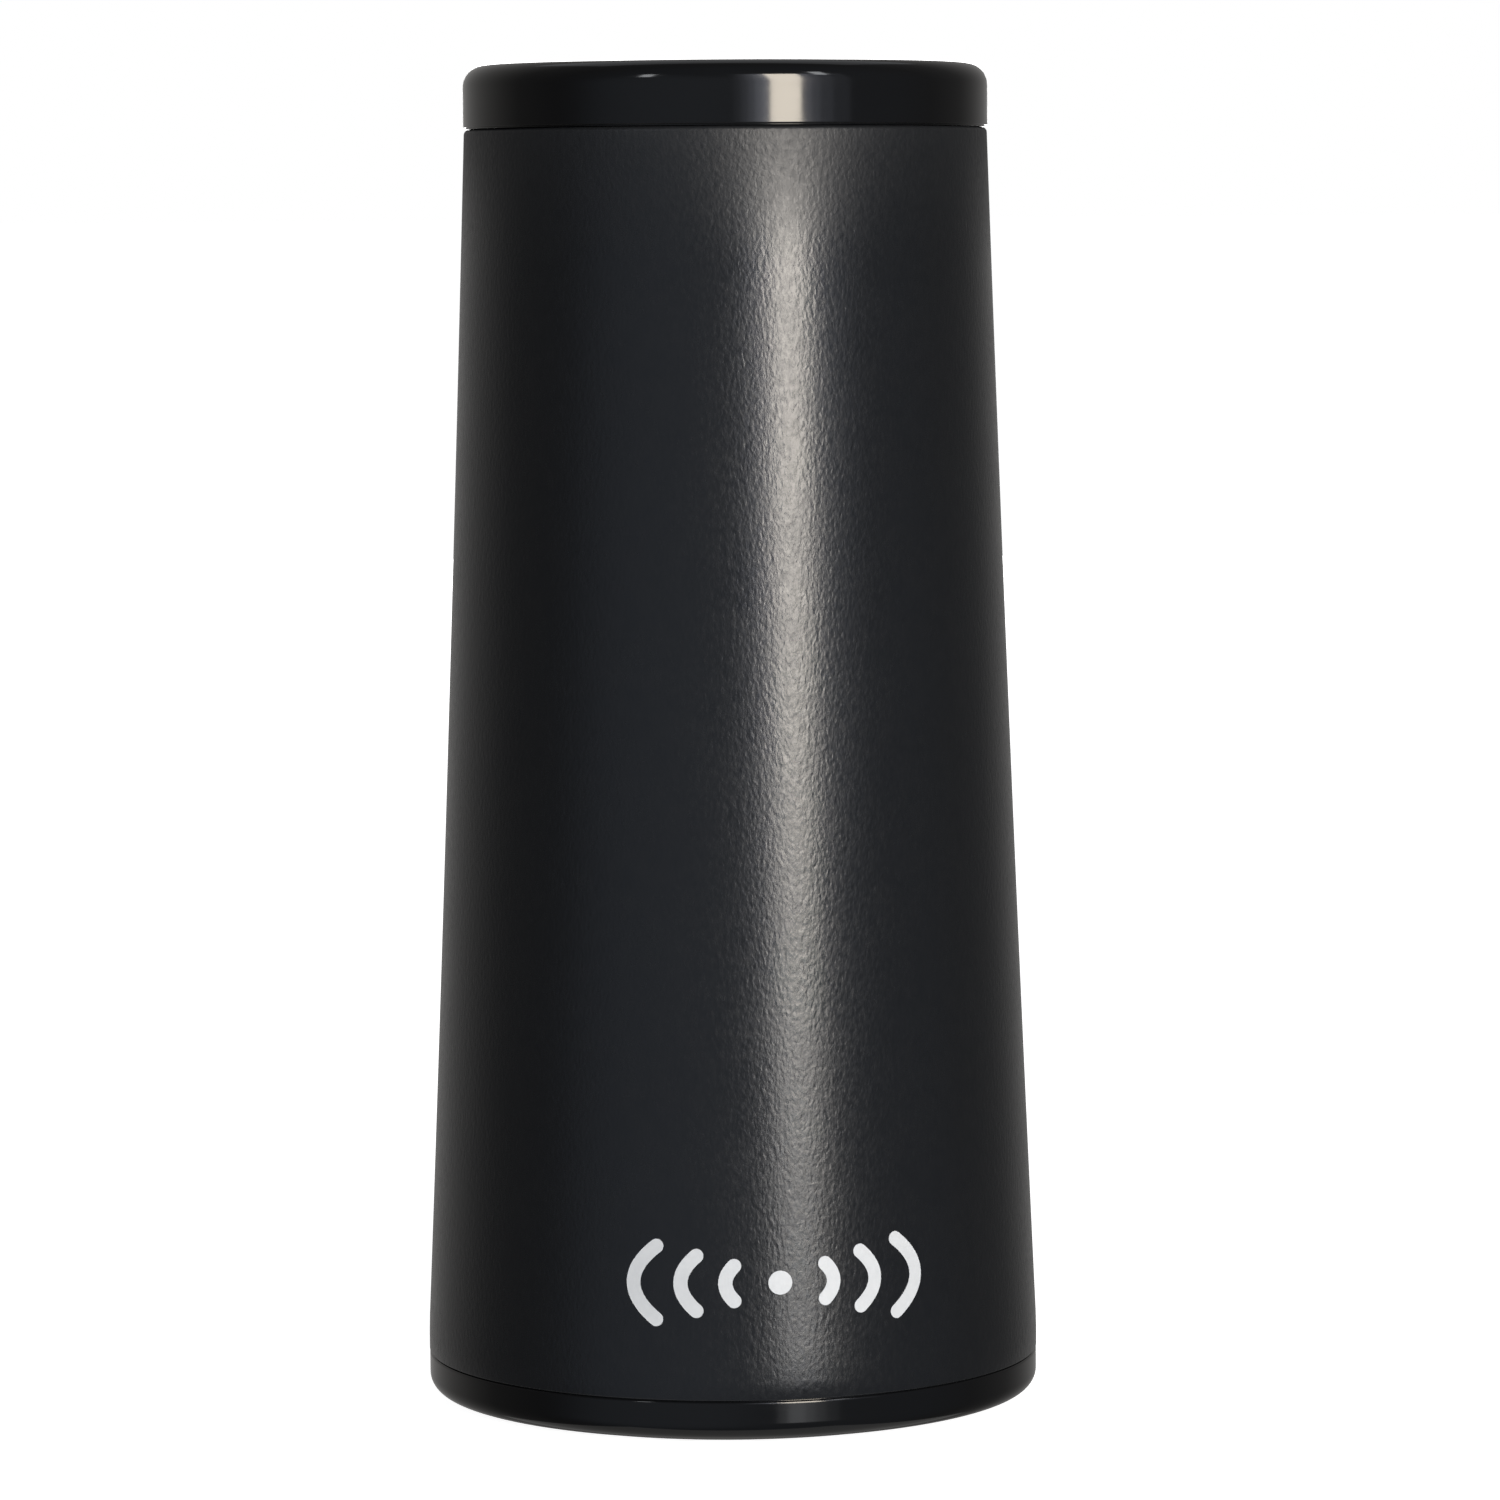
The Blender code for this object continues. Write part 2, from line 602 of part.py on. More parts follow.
def make_matching_board(parts, cutters):
    radius = FOOT_BORE_RADIUS - FIT - BOARD_EDGE_ROOM
    profile = [
        (BARREL_NECK_RADIUS + FIT, BOARD_TOP),
        (radius, BOARD_TOP),
        (radius, BOARD_BOTTOM),
        (BARREL_NECK_RADIUS + FIT, BOARD_BOTTOM),
    ]
    board = turned("matching_board", profile, "circuit_board", parts, SMALL_STEPS)
    for cutter in board_screw_cutters("board_hole", BOARD_BOTTOM - 1, BOARD_TOP + 1, cutters):
        combine(board, cutter)
    return applied(board)


def make_screw(name, at, shank, head, head_height, length, parts):
    """A cheese-head screw whose seat is at its own origin, with a cross recess as a conical socket."""
    recess = head * 0.22
    depth = head_height * 0.55
    profile = [
        (0, head_height - depth),
        (recess, head_height),
        (head / 2 - LEAD_IN, head_height),
        (head / 2, head_height - LEAD_IN),
        (head / 2, 0),
        (shank / 2, 0),
        (shank / 2, LEAD_IN - length),
        (shank / 2 - LEAD_IN, -length),
        (0, -length),
    ]
    return applied(turned(name, profile, "zinc_steel", parts, SCREW_STEPS, closed=False, at=at))


def make_board_screws(parts):
    for number, angle in enumerate(SCREW_ANGLES, 1):
        at = (*on_circle(SCREW_CIRCLE_RADIUS, angle), BOARD_TOP + FIT)
        make_screw(
            f"board_screw_{number}",
            at,
            M25_SHANK_DIAMETER,
            M25_HEAD_DIAMETER,
            M25_HEAD_HEIGHT,
            M25_LENGTH,
            parts,
        )


def make_coil_former(parts, cutters):
    tapped = M25_SHANK_DIAMETER / 2 + TAPPED_FIT
    profile = [
        (tapped, FORMER_TOP),
        (FORMER_RADIUS, FORMER_TOP),
        (FORMER_RADIUS, FORMER_FLOOR_TOP + LEAD_IN),
        (FORMER_RADIUS + LEAD_IN, FORMER_FLOOR_TOP),
        (FORMER_FOOT_RADIUS, FORMER_FLOOR_TOP),
        (FORMER_FOOT_RADIUS, FORMER_BOTTOM),
        (M3_HOLE_RADIUS, FORMER_BOTTOM),
        (M3_HOLE_RADIUS, FORMER_FLOOR_TOP),
        (FORMER_BORE_RADIUS, FORMER_FLOOR_TOP),
        (FORMER_BORE_RADIUS, FORMER_TOP - FORMER_END),
        (tapped, FORMER_TOP - FORMER_END),
    ]
    former = turned("coil_former", profile, "natural_nylon", parts, SMALL_STEPS)
    slot = box(
        "former_slot",
        (FORMER_FOOT_RADIUS, FORMER_SLOT_WIDTH, FORMER_SLOT_HEIGHT),
        (FORMER_RADIUS, 0, LUG_BOTTOM + FORMER_SLOT_HEIGHT / 2),
        cutters,
    )
    return applied(combine(former, slot))


def make_feed_screw(parts):
    at = (0, 0, FEED_HEAD_BOTTOM)
    return make_screw(
        "feed_screw",
        at,
        M3_SHANK_DIAMETER,
        M3_HEAD_DIAMETER,
        M3_HEAD_HEIGHT,
        M3_LENGTH,
        parts,
    )


def make_feed_lug(parts, cutters):
    """A ring with a straight tail, cut from one flat disc and strip."""
    top = LUG_BOTTOM + LUG_THICKNESS
    ring = LUG_DIAMETER / 2
    lug = cylinder("feed_lug", ring, LUG_BOTTOM, top, parts, SMALL_STEPS, finish="brass")
    tail_length = LUG_TAIL_REACH - ring / 2
    tail = box(
        "lug_tail",
        (tail_length, LUG_TAIL_WIDTH, LUG_THICKNESS),
        (LUG_TAIL_REACH - tail_length / 2, 0, (LUG_BOTTOM + top) / 2),
        cutters,
    )
    hole = cylinder("lug_hole", M3_HOLE_RADIUS, LUG_BOTTOM - 1, top + 1, cutters, SCREW_STEPS)
    combine(lug, tail, "UNION")
    combine(lug, hole)
    return applied(lug)


def make_radiating_coil(parts):
    """Lead in from the lug, up the side, round the former, and up through the disc."""
    bend = ELEMENT_WIRE
    lead = LUG_BOTTOM + FIT + ELEMENT_WIRE / 2
    coil_bottom = lead + ELEMENT_RISE
    coil_top = FORMER_TOP - ELEMENT_RISE
    corner = arc((ELEMENT_RADIUS - bend, lead + bend), bend, -90, 0, EDGE_STEPS)
    points = [(LUG_TAIL_REACH + FIT, 0, lead)]
    points += [(x, 0, z) for x, z in corner]
    points += [(ELEMENT_RADIUS, 0, coil_bottom - bend)]
    points += helix(ELEMENT_RADIUS, coil_bottom, coil_top, ELEMENT_TURNS, per_turn=16)
    points += [
        (ELEMENT_RADIUS, 0, coil_top + bend),
        (ELEMENT_RADIUS, 0, HAT_TOP + ELEMENT_WIRE / 2),
    ]
    return wire("radiating_coil", points, ELEMENT_WIRE, "enamelled_copper", parts)


def make_top_hat(parts, cutters):
    radius = RIM_BORE_RADIUS - HAT_EDGE_ROOM
    hole = M25_HOLE_RADIUS
    profile = [(hole, HAT_TOP), (radius, HAT_TOP), (radius, HAT_BOTTOM), (hole, HAT_BOTTOM)]
    hat = turned("top_hat", profile, "brass", parts, SMALL_STEPS)
    lead_hole = cylinder(
        "hat_lead_hole",
        ELEMENT_WIRE / 2 + FIT,
        HAT_BOTTOM - 1,
        HAT_TOP + 1,
        cutters,
        SCREW_STEPS,
        (ELEMENT_RADIUS, 0),
    )
    return applied(combine(hat, lead_hole))


def make_hat_washer(parts):
    bottom = HAT_TOP + FIT
    top = bottom + WASHER_THICKNESS
    hole = M25_HOLE_RADIUS
    outer = WASHER_DIAMETER / 2
    profile = [(hole, top), (outer, top), (outer, bottom), (hole, bottom)]
    return applied(turned("hat_washer", profile, "spring_steel", parts, SMALL_STEPS))


def make_hat_screw(parts):
    at = (0, 0, HAT_TOP + FIT + WASHER_THICKNESS + FIT)
    return make_screw(
        "hat_screw",
        at,
        M25_SHANK_DIAMETER,
        M25_HEAD_DIAMETER,
        M25_HEAD_HEIGHT,
        M25_LENGTH / 2,
        parts,
    )


def make_foam_pad(parts, cutters):
    bottom = HAT_TOP + FIT
    top = CAP_CEILING - FIT
    outer = CAP_INNER_RADIUS - FOAM_EDGE_ROOM
    hole = FOAM_HOLE_DIAMETER / 2
    profile = [(hole, top), (outer, top), (outer, bottom), (hole, bottom)]
    pad = turned("foam_pad", profile, "grey_foam", parts, SMALL_STEPS)
    lead_room = box(
        "foam_lead_room",
        (ELEMENT_WIRE + 2 * FIT, ELEMENT_WIRE + 2 * FIT, 2 * (ELEMENT_WIRE + FIT)),
        (ELEMENT_RADIUS, 0, bottom),
        cutters,
    )
    return applied(combine(pad, lead_room))


def make_shunt_coil(parts):
    """A small air-wound coil lying across the board, with its two ends turned down to it."""
    radius = (SHUNT_DIAMETER - SHUNT_WIRE) / 2
    length = SHUNT_TURNS * SHUNT_PITCH
    height = BOARD_TOP + FIT + SHUNT_DIAMETER / 2
    foot = -SHUNT_DIAMETER / 2
    turns = helix(radius, -length / 2, length / 2, SHUNT_TURNS, per_turn=12)
    points = [(radius, 0, -length / 2), *turns, (radius, 0, length / 2)]
    points[0] = (radius, foot, -length / 2)
    points[-1] = (radius, foot, length / 2)
    lie_down = Matrix.Rotation(radians(90), 3, "X")
    turn = Matrix.Rotation(radians(SHUNT_ANGLE + 90), 3, "Z")
    centre = Vector((*on_circle(SCREW_CIRCLE_RADIUS, SHUNT_ANGLE), height))
    placed = [turn @ lie_down @ Vector(point) + centre for point in points]
    return wire("shunt_coil", placed, SHUNT_WIRE, "enamelled_copper", parts)


def make_tuning_capacitor(parts):
    length, width, height = CAPACITOR_SIZE
    centre = (*on_circle(SCREW_CIRCLE_RADIUS, CAPACITOR_ANGLE), BOARD_TOP + FIT + height / 2)
    chip = box("tuning_capacitor", (length, width, height), centre, parts, "capacitor_ceramic", 0.12)
    chip.rotation_euler = (0, 0, radians(CAPACITOR_ANGLE + 90))
    return chip


def main():
    clear_scene()
    parts = new_collection("vehicle_antenna")
    cutters = new_collection("cutters")
    cutters.hide_render = True
    contact_axis = bpy.data.objects.new("contact_axis", None)
    parts.objects.link(contact_axis)

    make_radome(parts)
    make_top_cap(parts)
    seal_ring("top_cap_seal", RIM_BORE_RADIUS, cap_seal_height(), parts)
    make_base_body(parts, cutters)
    seal_ring("base_seal", FOOT_BORE_RADIUS, base_seal_height(), parts)
    make_mount_gasket(parts)
    make_threaded_insert(parts, cutters)

    make_contact_insulator(parts)
    make_contact_barrel(parts)
    make_contact_plunger(parts, contact_axis)
    make_contact_spring(parts)

    make_matching_board(parts, cutters)
    make_board_screws(parts)
    make_shunt_coil(parts)
    make_tuning_capacitor(parts)

    make_coil_former(parts, cutters)
    make_feed_screw(parts)
    make_feed_lug(parts, cutters)
    make_radiating_coil(parts)
    make_top_hat(parts, cutters)
    make_hat_washer(parts)
    make_hat_screw(parts)
    make_foam_pad(parts, cutters)


main()
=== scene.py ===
"""Looks of the low-profile vehicle antenna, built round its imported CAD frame.

Metres, +Z up, front at -Y. Profiles and paths are in millimetres, and are turned to metres by MM.
"""

import json
from math import cos, pi, radians, sin, tan

import bmesh
import bpy
from mathutils import Matrix, Vector


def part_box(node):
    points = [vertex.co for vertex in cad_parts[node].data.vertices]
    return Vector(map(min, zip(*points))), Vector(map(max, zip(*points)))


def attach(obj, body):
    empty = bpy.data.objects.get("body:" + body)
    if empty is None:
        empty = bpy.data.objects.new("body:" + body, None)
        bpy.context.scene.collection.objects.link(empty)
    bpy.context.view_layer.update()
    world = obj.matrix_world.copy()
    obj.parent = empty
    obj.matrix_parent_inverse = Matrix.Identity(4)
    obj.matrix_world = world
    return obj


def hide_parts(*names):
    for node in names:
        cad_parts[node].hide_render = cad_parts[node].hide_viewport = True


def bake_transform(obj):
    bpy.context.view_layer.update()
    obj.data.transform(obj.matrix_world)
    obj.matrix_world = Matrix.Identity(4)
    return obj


MM = 0.001
HOUSING = "housing"
CONTACT = "contact"

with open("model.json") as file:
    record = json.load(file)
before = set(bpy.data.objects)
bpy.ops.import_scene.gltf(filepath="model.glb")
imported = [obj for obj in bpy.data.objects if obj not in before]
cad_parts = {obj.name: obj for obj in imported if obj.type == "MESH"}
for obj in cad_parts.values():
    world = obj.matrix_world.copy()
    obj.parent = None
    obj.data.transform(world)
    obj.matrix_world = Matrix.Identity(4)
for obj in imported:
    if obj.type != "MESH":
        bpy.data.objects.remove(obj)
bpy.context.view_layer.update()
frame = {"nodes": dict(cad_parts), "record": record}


def levels(node):
    """A CAD node's bottom, top and outer radius, in millimetres."""
    low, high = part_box(node)
    return low.z / MM, high.z / MM, high.x / MM


# ---------------------------------------------------------------- sizes the pieces share, millimetres
RADOME_BOTTOM, RADOME_TOP, FOOT_RADIUS = levels("radome")
CAP_SPIGOT_BOTTOM, CAP_TOP, CAP_RADIUS = levels("top_cap")
RING_BOTTOM, WEB_TOP, RING_RADIUS = levels("base_body")
GASKET_TOP, GASKET_RADIUS = levels("mount_gasket")[1:]
INSERT_BOTTOM, INSERT_TOP, INSERT_RADIUS = levels("threaded_insert")
BUSH_BOTTOM, BUSH_TOP, BUSH_FLANGE = levels("contact_insulator")
BARREL_BOTTOM, BARREL_TOP, BARREL_FLANGE = levels("contact_barrel")
TIP_BOTTOM, PIN_TOP, SHOULDER_RADIUS = levels("contact_plunger")
SPRING_BOTTOM, SPRING_TOP = levels("contact_spring")[:2]
BOARD_BOTTOM, BOARD_TOP, BOARD_RADIUS = levels("matching_board")
FORMER_BOTTOM, FORMER_TOP, FORMER_FOOT = levels("coil_former")
LUG_BOTTOM, LUG_TOP = levels("feed_lug")[:2]
HAT_BOTTOM, HAT_TOP, HAT_RADIUS = levels("top_hat")
WASHER_BOTTOM, WASHER_TOP, WASHER_RADIUS = levels("hat_washer")
FOAM_BOTTOM, FOAM_TOP, FOAM_RADIUS = levels("foam_pad")

# Room between neighbours, and the small bevels that lead one into the other.
FIT = 0.3
SEAL_GAP = 0.1
LEAD_IN = 0.4
# The radome: its taper, its wall, its two edges and its bores.
RADOME_SET_IN = 0.04
RADOME_WAIST = 0.12
RADOME_LAND = 1.5
RADOME_WALL = 1.8
RADOME_EDGE = 0.32
RADOME_FOOT_EDGE = 0.1
RADOME_RIM = 78.84
RIM_BORE = 14.16
FOOT_BORE = 16.95
# The coarse grain fades in between these heights.
COARSE_FROM = 70.5
COARSE_TO = 79.5
# The cap, and the step that makes its parting line.
CAP_BOTTOM = 78.96
CAP_CEILING = 80.8
CAP_EDGE = 1.35
CAP_INNER = 12.36
SEAM_STEP = 0.16
# The base: its ring, its spigot, and the recesses for the gasket and the insert.
RING_TOP = 2.75
RING_EDGE = 1.1
RING_LIP = 0.14
SEAM_GAP = 0.05
SPIGOT_RADIUS = 16.65
POCKET_RADIUS = 15.59
RECESS_RADIUS = 17.59
HOLE_RADIUS = 5.0
# The O-rings and their grooves.
SEAL_WIRE = 0.9
SEAL_GROOVE = 1.4
CAP_SEAL_HEIGHT = CAP_BOTTOM - (CAP_BOTTOM - CAP_SPIGOT_BOTTOM) / 2
BASE_SEAL_HEIGHT = WEB_TOP - 1.55
# The insert and its thread, 1-1/8"-18.
INSERT_CEILING = 10.5
INSERT_SEAT = 10.9
THREAD_MAJOR = 14.29
THREAD_MINOR = 13.526
THREAD_PITCH = 25.4 / 18
THREAD_RELIEF = 1.7
# The board's screws, and the two parts between them.
SCREW_CIRCLE = 11.6
SCREW_ANGLES = (90, 210, 330)
SCREW_HOLE = 1.55
COIL_ANGLE = 150
CAPACITOR_ANGLE = 30
# The element and its former.
FORMER_RADIUS = 7.5
ELEMENT_RADIUS = 8.4
ELEMENT_WIRE = 1.2
# Sides of a turned shape: the two big shells, wide rings, discs, and small turned pieces.
SHELL = 256
WIDE = 192
DISC = 144
SMALL = 96


# ---------------------------------------------------------------- finishes
class Finish:
    """A procedural material: one Principled shader with texture nodes in object coordinates.

    Scales are in waves or cells per metre, and depths of relief in millimetres.
    """

    def __init__(self, name, **constants):
        self.name = name
        self.material = bpy.data.materials.new(name)
        self.material.use_nodes = True
        self.nodes = self.material.node_tree.nodes
        self.links = self.material.node_tree.links
        self.shader = self.nodes["Principled BSDF"]
        for socket, value in constants.items():
            self.shader.inputs[socket.replace("_", " ")].default_value = value
        self.place = self.nodes.new("ShaderNodeTexCoord").outputs["Object"]
        self.normal = None

    def node(self, kind, inputs=(), **settings):
        made = self.nodes.new("ShaderNode" + kind)
        for key, value in settings.items():
            setattr(made, key, value)
        for key, value in dict(inputs).items():
            if isinstance(value, bpy.types.NodeSocket):
                self.links.new(value, made.inputs[key])
            else:
                made.inputs[key].default_value = value
        return made

    def stretched(self, scale):
        """Object coordinates with each axis scaled."""
        return self.node("Mapping", {"Vector": self.place, "Scale": scale}).outputs["Vector"]

    def noise(self, scale, detail=2.0, stretch=(1, 1, 1), distortion=0.0):
        vector = self.stretched(tuple(scale * s for s in stretch))
        inputs = {"Vector": vector, "Scale": 1.0, "Detail": detail, "Distortion": distortion}
        return self.node("TexNoise", inputs).outputs["Fac"]

    def cells(self, scale, stretch=(1, 1, 1), feature="SMOOTH_F1"):
        vector = self.stretched(tuple(scale * s for s in stretch))
        inputs = {"Vector": vector, "Scale": 1.0}
        return self.node("TexVoronoi", inputs, feature=feature).outputs["Distance"]

    def height(self):
        return self.node("SeparateXYZ", {"Vector": self.place}).outputs["Z"]

    def radius(self):
        """Distance from the Z axis."""
        flat = self.node("Mapping", {"Vector": self.place, "Scale": (1, 1, 0)}).outputs["Vector"]
        return self.node("VectorMath", {0: flat}, operation="LENGTH").outputs["Value"]

    def spread(self, value, low, high, start=0.3, end=0.7):
        """A value mapped from start..end to low..high, and held there beyond."""
        inputs = {"Value": value, 1: start, 2: end, 3: low, 4: high}
        return self.node("MapRange", inputs).outputs["Result"]

    def maths(self, operation, first, second):
        return self.node("Math", {0: first, 1: second}, operation=operation).outputs["Value"]

    def colour(self, factor, *colours):
        """The base colour, along a ramp of colours."""
        ramp = self.node("ValToRGB", {"Fac": factor})
        stops = ramp.color_ramp.elements
        while len(stops) < len(colours):
            stops.new(0.5)
        for index, colour in enumerate(colours):
            stops[index].position = index / (len(colours) - 1)
            stops[index].color = (*colour, 1.0)
        self.links.new(ramp.outputs["Color"], self.shader.inputs["Base Color"])
        return self

    def rough(self, value):
        self.links.new(value, self.shader.inputs["Roughness"])
        return self

    def bump(self, value, depth):
        """Adds relief over the relief that is already there."""
        inputs = {"Height": value, "Distance": depth * MM, "Strength": 1.0}
        if self.normal:
            inputs["Normal"] = self.normal
        self.normal = self.node("Bump", inputs).outputs["Normal"]
        self.links.new(self.normal, self.shader.inputs["Normal"])
        return self


def grained_plastic():
    """Spark-eroded black plastic. The grain is coarser and duller just under the cap."""
    f = Finish("grained_black_plastic", IOR=1.5)
    upper = f.spread(f.height(), 0.0, 1.0, COARSE_FROM * MM, COARSE_TO * MM)
    ripple = f.noise(4900, 2.0, (1, 1, 0.55), 0.4)
    grain = f.cells(4600, (1, 1, 0.55))
    f.colour(f.noise(900, 4.0), (0.0082, 0.0092, 0.0108), (0.0115, 0.0122, 0.0136))
    base = f.spread(f.noise(210, 3.0), 0.215, 0.245)
    speckle = f.spread(f.noise(3600, 2.0, (1, 1, 0.6)), -0.035, 0.05)
    f.rough(f.maths("ADD", f.maths("ADD", base, speckle), f.maths("MULTIPLY", upper, 0.24)))
    f.bump(f.maths("ADD", ripple, f.maths("MULTIPLY", grain, 0.6)), 0.0125)
    f.bump(f.maths("MULTIPLY", f.noise(3300, 2.0), upper), 0.022)
    return f.bump(f.noise(420, 2.0), 0.003)


def gloss_plastic():
    """Moulded gloss black plastic, with faint rubbing and a trace of orange peel."""
    f = Finish("gloss_black_plastic", IOR=1.47, Specular_Tint=(1.0, 0.97, 0.91, 1.0))
    rubbed = f.noise(160, 5.0, (1, 1, 7))
    smudge = f.noise(70, 3.0)
    f.colour(smudge, (0.0040, 0.0043, 0.0050), (0.0062, 0.0064, 0.0070))
    f.rough(f.maths("ADD", f.spread(rubbed, 0.06, 0.10), f.spread(smudge, 0.0, 0.04)))
    return f.bump(f.noise(420, 2.0), 0.0016)


def rubber():
    f = Finish("black_rubber", IOR=1.52)
    f.colour(f.noise(650, 4.0), (0.013, 0.013, 0.014), (0.026, 0.026, 0.027))
    f.rough(f.spread(f.noise(500, 3.0), 0.62, 0.80))
    return f.bump(f.noise(2600, 4.0), 0.02)


def turned_metal(name, dark, light, low, high, pitch=0.09):
    """Lathe-turned metal: tool marks round the axis, darker tarnish in patches."""
    f = Finish(name, Metallic=1.0)
    tarnish = f.noise(420, 5.0, distortion=0.4)
    f.colour(f.spread(tarnish, 0.0, 1.0), dark, light)
    marks = f.maths("ADD", f.height(), f.radius())
    tool = f.maths("SINE", f.maths("MULTIPLY", marks, 2 * pi / (pitch * MM)), 0.0)
    f.rough(f.maths("ADD", f.spread(tarnish, high, low), f.maths("MULTIPLY", tool, 0.02)))
    f.bump(tool, 0.0012)
    return f.bump(f.noise(1500, 3.0), 0.002)


def wire_metal(name, dark, light, low, high, coat=0.0):
    """Drawn wire, with fine drawing lines and handling marks."""
    f = Finish(name, Metallic=1.0, Coat_Weight=coat, Coat_Roughness=0.12)
    marks = f.noise(900, 5.0, (1, 1, 3))
    f.colour(f.spread(f.noise(240, 4.0), 0.0, 1.0), dark, light)
    f.rough(f.spread(marks, low, high))
    return f.bump(marks, 0.004)


def waxy_plastic(name, dark, light, scatter):
    """Natural turned or moulded plastic that lets a little light in."""
    f = Finish(name, IOR=1.4, Subsurface_Weight=scatter, Subsurface_Scale=0.0012)
    f.colour(f.noise(300, 4.0), dark, light)
    f.rough(f.spread(f.noise(700, 3.0), 0.36, 0.50))
    f.bump(f.maths("SINE", f.maths("MULTIPLY", f.radius(), 2 * pi / (0.14 * MM)), 0.0), 0.0015)
    return f.bump(f.noise(1800, 3.0), 0.004)


def laminate():
    """Solder mask over woven glass."""
    f = Finish("circuit_board", IOR=1.5, Coat_Weight=0.3, Coat_Roughness=0.15)
    weave = f.maths("MULTIPLY", f.noise(1500, 1.0, (1, 0.12, 1)), f.noise(1500, 1.0, (0.12, 1, 1)))
    f.colour(f.spread(weave, 0.0, 1.0, 0.15, 0.4), (0.010, 0.075, 0.032), (0.022, 0.135, 0.060))
    f.rough(f.spread(f.noise(300, 3.0), 0.28, 0.42))
    return f.bump(weave, 0.012)


def ceramic():
    f = Finish("capacitor_ceramic", IOR=1.6)
    f.colour(f.noise(3500, 4.0), (0.36, 0.25, 0.15), (0.52, 0.39, 0.25))
    f.rough(f.spread(f.noise(2500, 3.0), 0.38, 0.55))
    return f.bump(f.noise(6000, 3.0), 0.006)


def foam():
    """Closed-cell foam: round cells, some of them cut open at the surface. The colour is painted darker
    towards the middle of each cell, as painted shade in its hollow, and the same cells give the relief.
    """
    f = Finish("grey_foam", IOR=1.4, Sheen_Weight=0.25, Sheen_Roughness=0.6)
    pores_and_shade = f.cells(2300, feature="F1")
    # Painted shade: the colour is darkest at each cell's middle, where its dip is deepest.
    f.colour(f.spread(pores_and_shade, 0.0, 1.0, 0.05, 0.55), (0.035, 0.035, 0.038), (0.15, 0.15, 0.16))
    f.rough(f.spread(f.noise(900, 3.0), 0.85, 0.98))
    f.bump(pores_and_shade, 0.16)
    return f.bump(f.noise(700, 3.0), 0.08)


def white_ink():
    """Pad-printed ink that lies over the grain."""
    f = Finish("white_ink", IOR=1.5)
    f.colour(f.noise(2600, 4.0), (0.60, 0.63, 0.655), (0.70, 0.725, 0.745))
    f.rough(f.spread(f.noise(1500, 3.0), 0.42, 0.58))
    return f.bump(f.noise(2800, 3.0, (1, 1, 0.6)), 0.006)


def make_finishes():
    made = [
        grained_plastic(),
        gloss_plastic(),
        rubber(),
        turned_metal("nickel_plate", (0.53, 0.50, 0.455), (0.69, 0.66, 0.61), 0.22, 0.31),
        turned_metal("brass", (0.60, 0.40, 0.15), (0.80, 0.57, 0.25), 0.24, 0.34),
        turned_metal("gold_plate", (0.80, 0.52, 0.18), (1.00, 0.76, 0.36), 0.14, 0.26, 0.06),
        wire_metal("spring_steel", (0.36, 0.37, 0.39), (0.62, 0.63, 0.65), 0.24, 0.38),
        wire_metal("zinc_steel", (0.46, 0.47, 0.50), (0.70, 0.71, 0.72), 0.26, 0.42),
        wire_metal("solder", (0.56, 0.57, 0.58), (0.78, 0.78, 0.77), 0.20, 0.34),
        wire_metal("enamelled_copper", (0.40, 0.13, 0.05), (0.70, 0.28, 0.12), 0.22, 0.34, 0.6),
        waxy_plastic("white_ptfe", (0.78, 0.78, 0.76), (0.90, 0.90, 0.88), 0.25),
        waxy_plastic("natural_nylon", (0.70, 0.66, 0.55), (0.84, 0.80, 0.70), 0.25),
        laminate(),
        ceramic(),
        foam(),
        white_ink(),
    ]
    return {finish.name: finish.material for finish in made}


FINISHES = make_finishes()


# ---------------------------------------------------------------- shapes
def piece(name, mesh, finish, body=HOUSING, stands_for=()):
    """A finished piece that rides on a body."""
    obj = bpy.data.objects.new(name, mesh)
    bpy.context.scene.collection.objects.link(obj)
    mesh.materials.clear()
    mesh.materials.append(FINISHES[finish])
    if body:
        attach(obj, body)
    if stands_for:
        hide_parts(*stands_for)
    return obj


def smooth(mesh, angle=40):
    """Smooth shading, with an edge kept sharp where its faces turn by more than the angle."""
    mesh.shade_smooth()
    mesh.set_sharp_from_angle(angle=radians(angle))


def finished_mesh(shape, name, angle=40):
    """The mesh of a bmesh, with its faces pointing out."""
    bmesh.ops.recalc_face_normals(shape, faces=shape.faces)
    mesh = bpy.data.meshes.new(name)
    shape.to_mesh(mesh)
    shape.free()
    smooth(mesh, angle)
    return mesh


# A softened corner: the least turn in degrees that is softened, the most of a side that its arc
# takes, and where the point beside the arc lies, as a share of the arc's reach.
LEAST_TURN = 18
MOST_OF_SIDE = 0.42
BESIDE = 1.15


def softened(profile, radius=0.1, closed=True, steps=3):
    """The profile with each corner turned into a small arc, no longer than its sides allow.

    A point beside each end of the arc keeps the flat sides flat when they are shaded smooth.
    """
    points = [Vector(p) for p in profile]
    made = []
    for index, corner in enumerate(points):
        if not closed and index in (0, len(points) - 1):
            made.append(corner)
            continue
        before = points[index - 1] - corner
        after = points[(index + 1) % len(points)] - corner
        turn = pi - before.angle(after)
        if turn < radians(LEAST_TURN):
            made.append(corner)
            continue
        reach = min(radius * tan(turn / 2), MOST_OF_SIDE * before.length, MOST_OF_SIDE * after.length)
        first = corner + before.normalized() * reach
        last = corner + after.normalized() * reach
        made.append(corner + before.normalized() * reach * BESIDE)
        for step in range(steps + 1):
            t = step / steps
            made.append(first * (1 - t) ** 2 + corner * 2 * t * (1 - t) + last * t * t)
        made.append(corner + after.normalized() * reach * BESIDE)
    return made


